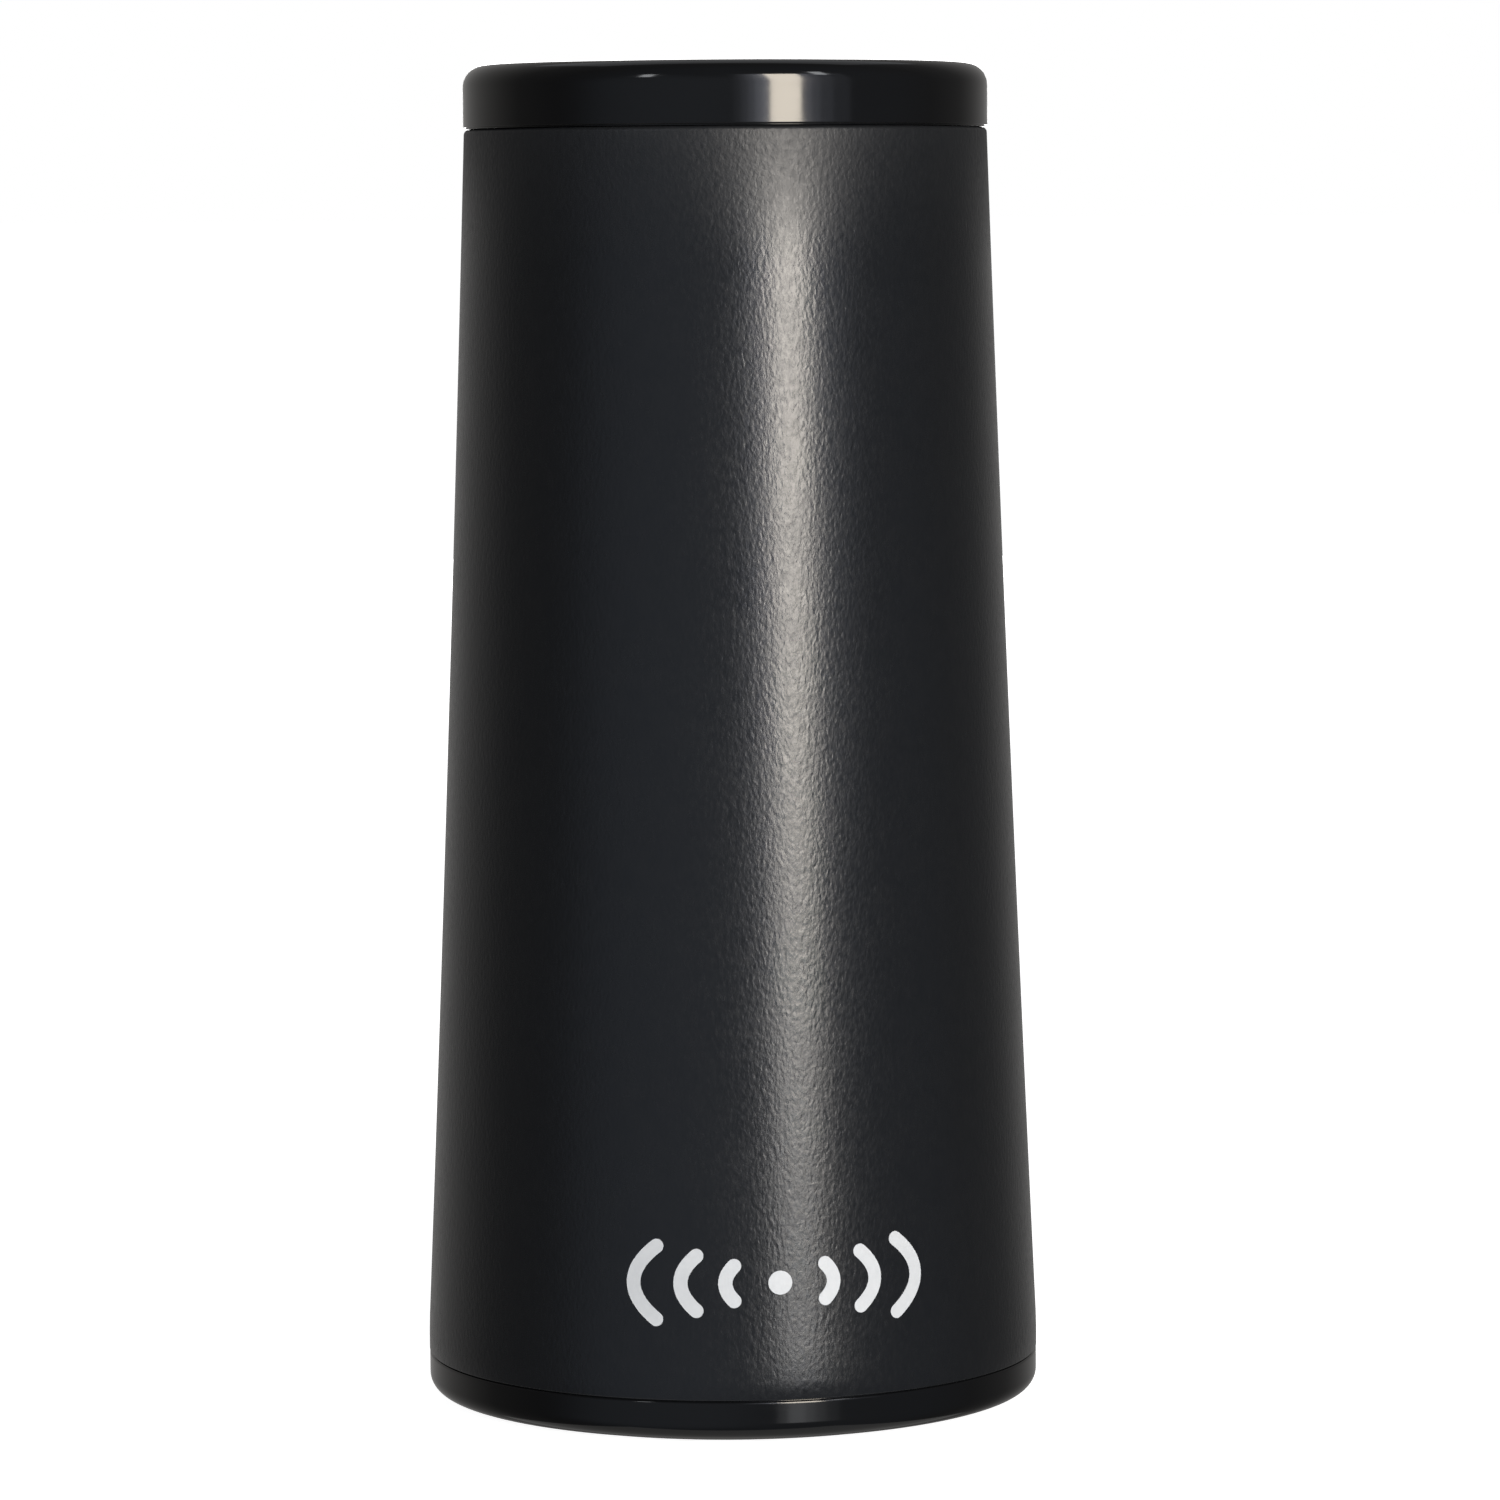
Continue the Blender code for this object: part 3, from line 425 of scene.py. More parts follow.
def lathe_mesh(name, profile, segments, closed=True, centre=(0, 0)):
    """A turned mesh. A closed profile makes a ring; an open one starts and ends on the axis."""
    shape = bmesh.new()
    columns = []
    for r, z in profile:
        if r < 1e-6:
            columns.append([shape.verts.new((centre[0] * MM, centre[1] * MM, z * MM))])
            continue
        ring = []
        for step in range(segments):
            angle = 2 * pi * step / segments
            x = centre[0] + r * cos(angle)
            y = centre[1] + r * sin(angle)
            ring.append(shape.verts.new((x * MM, y * MM, z * MM)))
        columns.append(ring)
    pairs = list(zip(columns, columns[1:]))
    if closed:
        pairs.append((columns[-1], columns[0]))
    for upper, lower in pairs:
        for step in range(segments):
            following = (step + 1) % segments
            corners = [upper[step % len(upper)], upper[following % len(upper)]]
            corners += [lower[following % len(lower)], lower[step % len(lower)]]
            shape.faces.new(list(dict.fromkeys(corners)))
    return finished_mesh(shape, name)


def turned(name, profile, finish, stands_for=(), segments=SMALL, soft=0.1):
    """A turned ring with softened corners, as a piece on the housing."""
    mesh = lathe_mesh(name, softened(profile, soft), segments)
    return piece(name, mesh, finish, stands_for=stands_for)


def arc(centre, radius, start, end, steps):
    """Points (r, z) on an arc between two angles in degrees."""
    points = []
    for step in range(steps + 1):
        angle = radians(start + (end - start) * step / steps)
        points.append((centre[0] + radius * cos(angle), centre[1] + radius * sin(angle)))
    return points


def tube_mesh(name, path, radius, sides=16):
    """A round wire along a path, with domed ends, as one closed mesh."""
    points = [Vector(p) for p in path]
    first = (points[0] - points[1]).normalized()
    last = (points[-1] - points[-2]).normalized()
    dome = radius * 0.5
    dome_radius = radius * 0.55
    rings = [(points[0] + first * dome, dome_radius), (points[0], radius)]
    rings += [(point, radius) for point in points[1:]]
    rings.append((points[-1] + last * dome, dome_radius))
    shape = bmesh.new()
    side = first.orthogonal().normalized()
    loops = []
    for index, (centre, size) in enumerate(rings):
        ahead = rings[min(index + 1, len(rings) - 1)][0] - rings[max(index - 1, 0)][0]
        ahead.normalize()
        side = (side - ahead * side.dot(ahead)).normalized()
        across = ahead.cross(side)
        loop = []
        for step in range(sides):
            angle = 2 * pi * step / sides
            place = centre + (side * cos(angle) + across * sin(angle)) * size
            loop.append(shape.verts.new(place * MM))
        loops.append(loop)
    for low, high in zip(loops, loops[1:]):
        for step in range(sides):
            following = (step + 1) % sides
            shape.faces.new((low[step], low[following], high[following], high[step]))
    shape.faces.new(loops[0][::-1])
    shape.faces.new(loops[-1])
    return finished_mesh(shape, name, 60)


def helix(radius, bottom, top, turns, per_turn=56):
    """Points along a right-hand helix round the Z axis."""
    count = round(turns * per_turn)
    points = []
    for step in range(count + 1):
        angle = 2 * pi * turns * step / count
        height = bottom + (top - bottom) * step / count
        points.append((radius * cos(angle), radius * sin(angle), height))
    return points


def box_mesh(name, size, centre, turn=0.0, bevel=0.0):
    """A box turned about the upright line through its centre. A bevel rounds its edges."""
    shape = bmesh.new()
    matrix = Matrix.Translation(Vector(centre) * MM) @ Matrix.Rotation(turn, 4, "Z")
    matrix = matrix @ Matrix.Diagonal((*(s * MM for s in size), 1))
    bmesh.ops.create_cube(shape, size=1.0, matrix=matrix)
    if bevel:
        bmesh.ops.bevel(shape, geom=shape.edges[:], offset=bevel * MM, segments=3, affect="EDGES")
    return finished_mesh(shape, name)


def cut(obj, *tools):
    """Cuts each tool mesh from the piece, and applies the result."""
    helpers = []
    for mesh in tools:
        helper = bpy.data.objects.new("cutter", mesh)
        bpy.context.scene.collection.objects.link(helper)
        boolean = obj.modifiers.new("cut", "BOOLEAN")
        boolean.object = helper
        boolean.solver = "EXACT"
        helpers.append(helper)
    graph = bpy.context.evaluated_depsgraph_get()
    mesh = bpy.data.meshes.new_from_object(obj.evaluated_get(graph))
    obj.modifiers.clear()
    obj.data = mesh
    smooth(mesh)
    for helper in helpers:
        bpy.data.objects.remove(helper)
    return obj


def on_circle(radius, angle):
    return radius * cos(radians(angle)), radius * sin(radians(angle))


def drill(radius, low, high, centre):
    """A round cutter that goes 1 mm past both faces."""
    wall = [(0, high + 1), (radius, high + 1), (radius, low - 1), (0, low - 1)]
    return lathe_mesh("drill", wall, 32, closed=False, centre=centre)


def screw_drills(low, high):
    return [drill(SCREW_HOLE, low, high, on_circle(SCREW_CIRCLE, angle)) for angle in SCREW_ANGLES]


# ---------------------------------------------------------------- the outside
def radome_radius(height):
    """The outer radius: upright at the foot, then a taper with a slight inward bow."""
    start = RADOME_BOTTOM + RADOME_LAND
    share = max(0.0, (height - start) / (RADOME_TOP - start))
    top_radius = CAP_RADIUS - RADOME_SET_IN
    straight = FOOT_RADIUS + (top_radius - FOOT_RADIUS) * share
    return straight - 4 * RADOME_WAIST * share * (1 - share)


def make_radome():
    """The grained shell, open at both ends, with thicker walls where the two spigots go in."""
    bottom = RING_TOP + SEAM_GAP
    lip = bottom + RADOME_FOOT_EDGE
    edge = RADOME_RIM - RADOME_EDGE
    profile = arc((radome_radius(edge) - RADOME_EDGE, edge), RADOME_EDGE, 90, 0, 5)
    rows = 72
    for row in range(1, rows + 1):
        height = edge + (lip - edge) * row / rows
        profile.append((radome_radius(height), height))
    profile += arc((FOOT_RADIUS - RADOME_FOOT_EDGE, lip), RADOME_FOOT_EDGE, 0, -90, 3)[1:]
    low = WEB_TOP + 2 * LEAD_IN
    high = CAP_SPIGOT_BOTTOM - 2 * LEAD_IN
    inner = [(FOOT_BORE, bottom), (FOOT_BORE, low - LEAD_IN)]
    inner_rows = 12
    for row in range(inner_rows + 1):
        height = low + (high - low) * row / inner_rows
        inner.append((radome_radius(height) - RADOME_WALL, height))
    inner += [(RIM_BORE, high + LEAD_IN), (RIM_BORE, RADOME_RIM)]
    mesh = lathe_mesh("radome_shell", profile + softened(inner, 0.15, closed=False), SHELL)
    piece("radome_shell", mesh, "grained_black_plastic", stands_for=["radome"])


def groove(radius, middle, bore):
    """The groove round a spigot for the O-ring that seals it in a bore."""
    high = middle + SEAL_GROOVE / 2
    low = middle - SEAL_GROOVE / 2
    floor = bore - SEAL_WIRE - 2 * SEAL_GAP
    return [(radius, high), (floor, high), (floor, low), (radius, low)]


def make_cap():
    """The gloss plug cap, whose spigot goes down inside the radome."""
    spigot = RIM_BORE - FIT
    seat = RADOME_RIM + 0.02
    edge = (CAP_RADIUS - CAP_EDGE, CAP_TOP - CAP_EDGE)
    outer = [(0, CAP_TOP), (edge[0] - 0.5, CAP_TOP)]
    outer += arc(edge, CAP_EDGE, 90, 0, 20)
    outer.append((CAP_RADIUS, edge[1] - 0.05))
    lower = [(CAP_RADIUS, CAP_BOTTOM), (CAP_RADIUS - SEAM_STEP, CAP_BOTTOM)]
    lower += [(CAP_RADIUS - SEAM_STEP, seat), (spigot, seat)]
    lower += groove(spigot, CAP_SEAL_HEIGHT, RIM_BORE)
    lower += [(spigot, CAP_SPIGOT_BOTTOM + LEAD_IN), (spigot - LEAD_IN, CAP_SPIGOT_BOTTOM)]
    lower += [(CAP_INNER, CAP_SPIGOT_BOTTOM), (CAP_INNER, CAP_CEILING), (0, CAP_CEILING)]
    profile = outer + softened([outer[-1], *lower], 0.09, closed=False)[1:]
    mesh = lathe_mesh("cap_plug", profile, SHELL, closed=False)
    piece("cap_plug", mesh, "gloss_black_plastic", stands_for=["top_cap"])


def make_base():
    """The gloss foot: the ring that shows, and the spigot that goes up inside the radome."""
    edge = (RING_RADIUS - RING_EDGE, RING_BOTTOM + RING_EDGE)
    seat = RING_TOP + 0.06
    step = RING_RADIUS - SEAM_STEP
    inner = [(HOLE_RADIUS, WEB_TOP), (SPIGOT_RADIUS - LEAD_IN, WEB_TOP)]
    inner.append((SPIGOT_RADIUS, WEB_TOP - LEAD_IN))
    inner += groove(SPIGOT_RADIUS, BASE_SEAL_HEIGHT, FOOT_BORE)
    inner += [(SPIGOT_RADIUS, seat), (step, seat), (step, RING_TOP - 0.1)]
    profile = softened(inner, 0.08, closed=False)
    profile += arc((RING_RADIUS - RING_LIP, RING_TOP - RING_LIP), RING_LIP, 90, 0, 5)
    profile.append((RING_RADIUS, RING_TOP - RING_LIP - 0.04))
    profile.append((RING_RADIUS, edge[1] + 0.05))
    profile += arc(edge, RING_EDGE, 0, -90, 16)
    ceiling = INSERT_TOP + FIT
    recess = [profile[-1], (RECESS_RADIUS, RING_BOTTOM), (RECESS_RADIUS, INSERT_BOTTOM)]
    recess += [(POCKET_RADIUS, INSERT_BOTTOM), (POCKET_RADIUS, ceiling), (HOLE_RADIUS, ceiling)]
    profile += softened(recess, 0.1, closed=False)[1:]
    mesh = lathe_mesh("base_foot", profile, SHELL)
    base = piece("base_foot", mesh, "gloss_black_plastic", stands_for=["base_body"])
    cut(base, *screw_drills(ceiling, WEB_TOP))


def make_gasket():
    """A flat rubber ring with two sealing beads round its underside."""
    inner = THREAD_MAJOR + LEAD_IN
    bead = 0.14
    bead_reach = 0.3
    flat = 0.42
    steps = 8
    profile = [(inner, GASKET_TOP), (GASKET_RADIUS, GASKET_TOP), (GASKET_RADIUS, bead)]
    for share in (0.74, 0.26):
        middle = inner + (GASKET_RADIUS - inner) * share
        profile.append((middle + flat, bead))
        for step in range(1, steps):
            angle = pi * step / steps
            profile.append((middle + bead_reach * cos(angle), bead * (1 - sin(angle))))
        profile.append((middle - flat, bead))
    profile.append((inner, bead))
    turned("gasket_ring", profile, "black_rubber", ["mount_gasket"], WIDE, soft=0.12)


def tap_mesh():
    """A solid with a right-hand external thread, which cuts the insert's female thread."""
    root = THREAD_MINOR - 0.1
    slope = tan(radians(30))
    crest = THREAD_PITCH / 16
    foot = crest + (THREAD_MAJOR - root) * slope
    middle = THREAD_PITCH / 2
    section = [(root, middle - foot), (THREAD_MAJOR, middle - crest)]
    section += [(THREAD_MAJOR, middle + crest), (root, middle + foot)]
    steps = 144
    start = INSERT_BOTTOM - 2 * THREAD_PITCH
    end = INSERT_CEILING - 0.1 - THREAD_PITCH
    turns = int((end - start) / THREAD_PITCH)
    shape = bmesh.new()
    rows = []
    for turn in range(turns + 1):
        for r, z in section:
            rows.append((r, start + (turn + z / THREAD_PITCH) * THREAD_PITCH))
    grid = []
    for r, z in rows:
        ring = []
        for step in range(steps):
            angle = 2 * pi * step / steps
            height = z + THREAD_PITCH * step / steps
            ring.append(shape.verts.new((r * cos(angle) * MM, r * sin(angle) * MM, height * MM)))
        grid.append(ring)
    # After a whole turn each row goes on as the one a pitch higher.
    higher = len(section)
    for row in range(len(grid) - higher - 1):
        for step in range(steps):
            if step + 1 < steps:
                ahead = (grid[row][step + 1], grid[row + 1][step + 1])
            else:
                ahead = (grid[row + higher][0], grid[row + higher + 1][0])
            shape.faces.new((grid[row][step], *ahead, grid[row + 1][step]))
    bmesh.ops.delete(shape, geom=[v for v in shape.verts if not v.link_faces], context="VERTS")
    bmesh.ops.holes_fill(shape, edges=[e for e in shape.edges if e.is_boundary])
    return finished_mesh(shape, "tap")


def make_insert():
    """The nickel-plated insert, with its thread cut by a tap and a relief above the thread."""
    relief = INSERT_CEILING - THREAD_RELIEF
    relief_radius = THREAD_MAJOR + 0.06
    seat = BUSH_FLANGE + FIT
    profile = [(HOLE_RADIUS, INSERT_TOP), (INSERT_RADIUS - LEAD_IN, INSERT_TOP)]
    profile += [(INSERT_RADIUS, INSERT_TOP - LEAD_IN), (INSERT_RADIUS, INSERT_BOTTOM)]
    profile += [(THREAD_MAJOR + 0.25, INSERT_BOTTOM), (THREAD_MINOR, INSERT_BOTTOM + 1.0)]
    profile += [(THREAD_MINOR, relief), (relief_radius, relief + 0.35)]
    profile += [(relief_radius, INSERT_CEILING), (seat, INSERT_CEILING)]
    profile += [(seat, INSERT_SEAT), (HOLE_RADIUS, INSERT_SEAT)]
    insert = turned("insert_threaded", profile, "nickel_plate", ["threaded_insert"], DISC, soft=0.06)
    cut(insert, tap_mesh(), *screw_drills(INSERT_CEILING, INSERT_TOP))


def make_seals():
    for name, bore, height, node in (
        ("cap_o_ring", RIM_BORE, CAP_SEAL_HEIGHT, "top_cap_seal"),
        ("base_o_ring", FOOT_BORE, BASE_SEAL_HEIGHT, "base_seal"),
    ):
        section = SEAL_WIRE / 2
        profile = arc((bore - SEAL_GAP - section, height), section, 180, -180, 20)[:-1]
        piece(name, lathe_mesh(name, profile, WIDE), "black_rubber", stands_for=[node])


# The printed sign: its middle, its line, and how far it stands out of the radome and goes in.
SIGN_ANGLE = 8.9
SIGN_HEIGHT = 9.9
SIGN_STROKE = 0.86
SIGN_DOT = 1.44
SIGN_PROUD = 0.025
SIGN_SUNK = 0.06
# Half width and half height of each pair of arcs, and how far their ends bend back.
SIGN_ARCS = ((3.3, 1.05), (6.0, 1.65), (8.9, 2.2))
SIGN_BEND = 0.16
SIGN_STEPS = 24
SIGN_END_STEPS = 7


def stroke_rungs(spots, half):
    """A pen stroke with round ends, as rungs from its left side to its right side."""
    if len(spots) > 1:
        ahead = [(b - a).normalized() for a, b in zip(spots, spots[1:])]
        ahead.append(ahead[-1])
    else:
        ahead = [Vector((1, 0))]

    def rung(middle, forward, reach):
        across = Vector((-forward.y, forward.x)) * reach
        return middle + across, middle - across

    def round_end(spot, forward, way):
        rungs = []
        for step in range(1, SIGN_END_STEPS + 1):
            angle = pi / 2 * step / (SIGN_END_STEPS + 0.2)
            middle = spot + forward * way * half * sin(angle)
            rungs.append(rung(middle, forward, half * cos(angle)))
        return rungs

    start = round_end(spots[0], ahead[0], -1)
    line = [rung(spot, forward, half) for spot, forward in zip(spots, ahead)]
    return start[::-1] + line + round_end(spots[-1], ahead[-1], 1)


def make_sign():
    """A generic printed radio-wave sign: a dot with three arcs on each side, wrapped round the radome."""
    strokes = [([Vector((0, 0))], SIGN_DOT / 2)]
    for reach, rise in SIGN_ARCS:
        for side in (-1, 1):
            line = []
            for step in range(SIGN_STEPS + 1):
                t = 2 * step / SIGN_STEPS - 1
                line.append(Vector((side * reach * (1 - SIGN_BEND * t * t), rise * t)))
            strokes.append((line, SIGN_STROKE / 2))
    shape = bmesh.new()

    def place(spot, lift):
        height = SIGN_HEIGHT + spot.y
        radius = radome_radius(height) + lift
        angle = radians(SIGN_ANGLE - 90) + spot.x / radome_radius(SIGN_HEIGHT)
        return shape.verts.new(Vector((radius * cos(angle), radius * sin(angle), height)) * MM)

    for line, half in strokes:
        rows = []
        for left, right in stroke_rungs(line, half):
            upper = (place(left, SIGN_PROUD), place(right, SIGN_PROUD))
            lower = (place(right, -SIGN_SUNK), place(left, -SIGN_SUNK))
            rows.append(upper + lower)
        for row, following in zip(rows, rows[1:]):
            for near in range(4):
                far = (near + 1) % 4
                shape.faces.new((row[near], row[far], following[far], following[near]))
        shape.faces.new(rows[0][::-1])
        shape.faces.new(rows[-1])
    piece("printed_sign", finished_mesh(shape, "printed_sign"), "white_ink")


# ---------------------------------------------------------------- the contact
def make_bush():
    """The flanged bush that keeps the contact off the insert."""
    bore = 3.3
    neck = 4.7
    flange_top = BUSH_BOTTOM + 1.2
    bush = [(bore, BUSH_TOP), (neck, BUSH_TOP), (neck, flange_top), (BUSH_FLANGE, flange_top)]
    bush += [(BUSH_FLANGE, BUSH_BOTTOM), (bore, BUSH_BOTTOM)]
    turned("insulator_bush", bush, "white_ptfe", ["contact_insulator"], soft=0.18)


BARREL_LIP = BARREL_BOTTOM + 1.1


def make_barrel():
    """The barrel: a lip below that holds the plunger's shoulder, and the spring's chamber above."""
    thread_hole = 1.65
    neck = 2.4
    stem = 3.0
    mouth = 2.1
    chamber = 2.5
    ceiling = SPRING_TOP + SEAL_GAP
    flange_top = BARREL_BOTTOM + 0.9
    sleeve = [(thread_hole, BARREL_TOP), (neck, BARREL_TOP), (neck, WEB_TOP), (stem, WEB_TOP)]
    sleeve += [(stem, flange_top), (BARREL_FLANGE, flange_top), (BARREL_FLANGE, BARREL_BOTTOM)]
    sleeve += [(mouth, BARREL_BOTTOM), (mouth, BARREL_LIP), (chamber, BARREL_LIP)]
    sleeve += [(chamber, ceiling), (thread_hole, ceiling)]
    turned("barrel_sleeve", sleeve, "brass", ["contact_barrel"], soft=0.14)


def make_plunger():
    """The plunger: a domed nose, a shoulder, and a pin that the spring goes round."""
    pin = 1.0
    radius = 1.9
    nose = 0.75 * radius
    steps = 16
    shoulder = BARREL_LIP + SEAL_GAP
    shoulder_top = shoulder + 1.2
    tip = [(0, PIN_TOP), (pin, PIN_TOP), (pin, shoulder_top), (SHOULDER_RADIUS, shoulder_top)]
    tip += [(SHOULDER_RADIUS, shoulder), (radius, shoulder)]
    dome = []
    for step in range(steps):
        angle = pi / 2 * step / steps
        dome.append((radius * cos(angle), TIP_BOTTOM + nose * (1 - sin(angle))))
    profile = softened([*tip, dome[0]], 0.12, closed=False)[:-1] + dome + [(0, TIP_BOTTOM)]
    mesh = lathe_mesh("plunger_tip", profile, SMALL, closed=False)
    piece("plunger_tip", mesh, "gold_plate", CONTACT, ["contact_plunger"])


def make_spring():
    """The contact's spring: a coil of round wire from the spring's foot to its top, on no body."""
    coil = 1.72
    half = 0.18
    path = helix(coil, SPRING_BOTTOM + half, SPRING_TOP - half, 3.5)
    mesh = tube_mesh("spring_coil", path, half, 12)
    spring = piece("spring_coil", mesh, "spring_steel", None, ["contact_spring"])
    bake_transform(spring)


# ---------------------------------------------------------------- the inside
# Head diameter, head height, thread diameter and pitch of the two kinds of screw.
M2_5 = (4.2, 1.6, 2.5, 0.45)
M3 = (5.5, 1.8, 3.0, 0.5)
# The cross recess's length and width as shares of the head's diameter.
CROSS_LENGTH = 0.5
CROSS_WIDTH = 0.13


def screw_profile(form, length, seat):
    """A cheese-head screw with its thread as fine grooves, running down its outer side."""
    head, head_height, shank, pitch = form
    edge = 0.25
    point = 0.4
    radius = shank / 2
    top = seat + head_height
    tip = seat - length
    depth = 0.61 * pitch / 2
    profile = [(0, top), (head / 2 - edge, top), (head / 2, top - edge), (head / 2, seat), (radius, seat)]
    z = seat - 0.5
    while z - pitch > tip + point:
        profile += [(radius, z), (radius - depth, z - pitch / 2)]
        z -= pitch
    return profile + [(radius, z), (radius - point, tip), (0, tip)]


def make_screw(name, node, centre, form, length, seat):
    head, head_height = form[:2]
    profile = softened(screw_profile(form, length, seat), 0.05, closed=False, steps=2)
    mesh = lathe_mesh(name, profile, 48, closed=False, centre=centre)
    screw = piece(name, mesh, "zinc_steel", stands_for=[node])
    size = (head * CROSS_LENGTH, head * CROSS_WIDTH, head_height)
    cut(screw, *(box_mesh("arm", size, (*centre, seat + head_height), turn) for turn in (0, pi / 2)))


def make_screws():
    for number, angle in enumerate(SCREW_ANGLES, 1):
        centre = on_circle(SCREW_CIRCLE, angle)
        make_screw(f"cross_screw_{number}", f"board_screw_{number}", centre, M2_5, 8.0, BOARD_TOP + FIT)
    make_screw("feed_cross_screw", "feed_screw", (0, 0), M3, 6.0, LUG_TOP + FIT)
    make_screw("hat_cross_screw", "hat_screw", (0, 0), M2_5, 4.0, WASHER_TOP + FIT)


# The tinning's top and underside, over the board.
FOIL = 0.035
LIFT = 0.002
# A solder joint's outline: radius, and height over the board.
SOLDER_DOME = ((0, 0.46), (0.3, 0.4), (0.5, 0.18), (0.85, 0.03), (0.85, LIFT), (0, LIFT))
# Where each part is soldered: its angle, how far out from the screws' circle, and half its length.
SOLDER_SPOTS = ((COIL_ANGLE, 1.3, 2.0), (CAPACITOR_ANGLE, 0.0, 1.75))


def make_board():
    """The disc board, with tinned rings round its holes and solder at the parts' ends."""
    bore = 2.7
    profile = [(bore, BOARD_TOP), (BOARD_RADIUS, BOARD_TOP)]
    profile += [(BOARD_RADIUS, BOARD_BOTTOM), (bore, BOARD_BOTTOM)]
    board = turned("round_board", profile, "circuit_board", ["matching_board"], DISC, soft=0.06)
    cut(board, *screw_drills(BOARD_BOTTOM, BOARD_TOP))
    rings = [((0, 0), bore + 0.05, 4.6)]
    rings += [(on_circle(SCREW_CIRCLE, angle), SCREW_HOLE + 0.1, 2.9) for angle in SCREW_ANGLES]
    low, high = BOARD_TOP + LIFT, BOARD_TOP + FOIL
    for number, (centre, inside, outside) in enumerate(rings, 1):
        name = f"tinned_ring_{number}"
        profile = softened([(inside, high), (outside, high), (outside, low), (inside, low)], 0.01)
        piece(name, lathe_mesh(name, profile, 64, centre=centre), "solder")
    joints = []
    for angle, outwards, reach in SOLDER_SPOTS:
        x, y = on_circle(SCREW_CIRCLE + outwards, angle)
        along = on_circle(reach, angle + 90)
        joints += [(x + side * along[0], y + side * along[1]) for side in (-1, 1)]
    dome = softened([(r, BOARD_TOP + z) for r, z in SOLDER_DOME], 0.1, closed=False)
    for number, centre in enumerate(joints, 1):
        name = f"solder_{number}"
        mesh = lathe_mesh(name, dome, 40, closed=False, centre=centre)
        piece(name, mesh, "solder")


def make_air_coil():
    """The air-wound coil, lying across the board, with its two ends bent down to the solder."""
    wire = 0.6
    radius = 1.3
    half = 2.0
    ends = (-0.8, -1.6)
    points = [(radius, y, -half) for y in ends[::-1]]
    points += helix(radius, -half, half, 4, per_turn=40)
    points += [(radius, y, half) for y in ends]
    lying = Matrix.Rotation(radians(COIL_ANGLE + 90), 3, "Z") @ Matrix.Rotation(radians(90), 3, "X")
    centre = Vector((*on_circle(SCREW_CIRCLE, COIL_ANGLE), BOARD_TOP + FIT + 1.6))
    path = [lying @ Vector(point) + centre for point in points]
    mesh = tube_mesh("air_coil", path, wire / 2, 14)
    piece("air_coil", mesh, "enamelled_copper", stands_for=["shunt_coil"])


def make_capacitor():
    """The chip capacitor: a ceramic body between two tinned ends."""
    x, y = on_circle(SCREW_CIRCLE, CAPACITOR_ANGLE)
    middle = BOARD_TOP + FIT + 0.7
    turn = radians(CAPACITOR_ANGLE + 90)
    reach = 1.3
    body = box_mesh("chip_body", (2.3, 1.5, 1.3), (x, y, middle), turn, 0.08)
    piece("chip_body", body, "capacitor_ceramic", stands_for=["tuning_capacitor"])
    for number, side in enumerate((-1, 1), 1):
        place = (x + side * reach * cos(turn), y + side * reach * sin(turn), middle)
        end = box_mesh(f"chip_end_{number}", (0.6, 1.6, 1.4), place, turn, 0.12)
        piece(f"chip_end_{number}", end, "solder")


def make_former():
    """The former: a tube with a foot below, a web above, and a slot that lets the lug out."""
    foot_top = FORMER_BOTTOM + 2.0
    web_bottom = FORMER_TOP - 3
    bore = 6.0
    top_hole = 1.4
    foot_hole = 1.8
    former = [(top_hole, FORMER_TOP), (FORMER_RADIUS, FORMER_TOP), (FORMER_RADIUS, foot_top + LEAD_IN)]
    former += [(FORMER_RADIUS + LEAD_IN, foot_top), (FORMER_FOOT, foot_top), (FORMER_FOOT, FORMER_BOTTOM)]
    former += [(foot_hole, FORMER_BOTTOM), (foot_hole, foot_top), (bore, foot_top)]
    former += [(bore, web_bottom), (top_hole, web_bottom)]
    tube = turned("wound_former", former, "natural_nylon", ["coil_former"], soft=0.2)
    slot_size = (FORMER_FOOT, 2.4, 3.6)
    slot_place = (FORMER_RADIUS, 0, LUG_BOTTOM + slot_size[2] / 2)
    cut(tube, box_mesh("slot", slot_size, slot_place, 0.0, 0.3))


def make_element():
    """The wire element: from the lug out through the slot, five turns up, and into the disc."""
    half = ELEMENT_WIRE / 2
    bend = ELEMENT_WIRE
    lead = LUG_BOTTOM + FIT + half
    margin = 5.5
    low = lead + margin
    high = FORMER_TOP - margin
    path = [(x, 0, lead) for x in (5.9, 6.6)]
    path += [(x, 0, z) for x, z in arc((ELEMENT_RADIUS - bend, lead + bend), bend, -90, 0, 8)]
    path += [(ELEMENT_RADIUS, 0, lead + 2 * bend), (ELEMENT_RADIUS, 0, low - bend)]
    path += helix(ELEMENT_RADIUS, low, high, 5)
    path += [(ELEMENT_RADIUS, 0, high + bend), (ELEMENT_RADIUS, 0, HAT_TOP + half)]
    mesh = tube_mesh("element_winding", path, half, 18)
    piece("element_winding", mesh, "enamelled_copper", stands_for=["radiating_coil"])


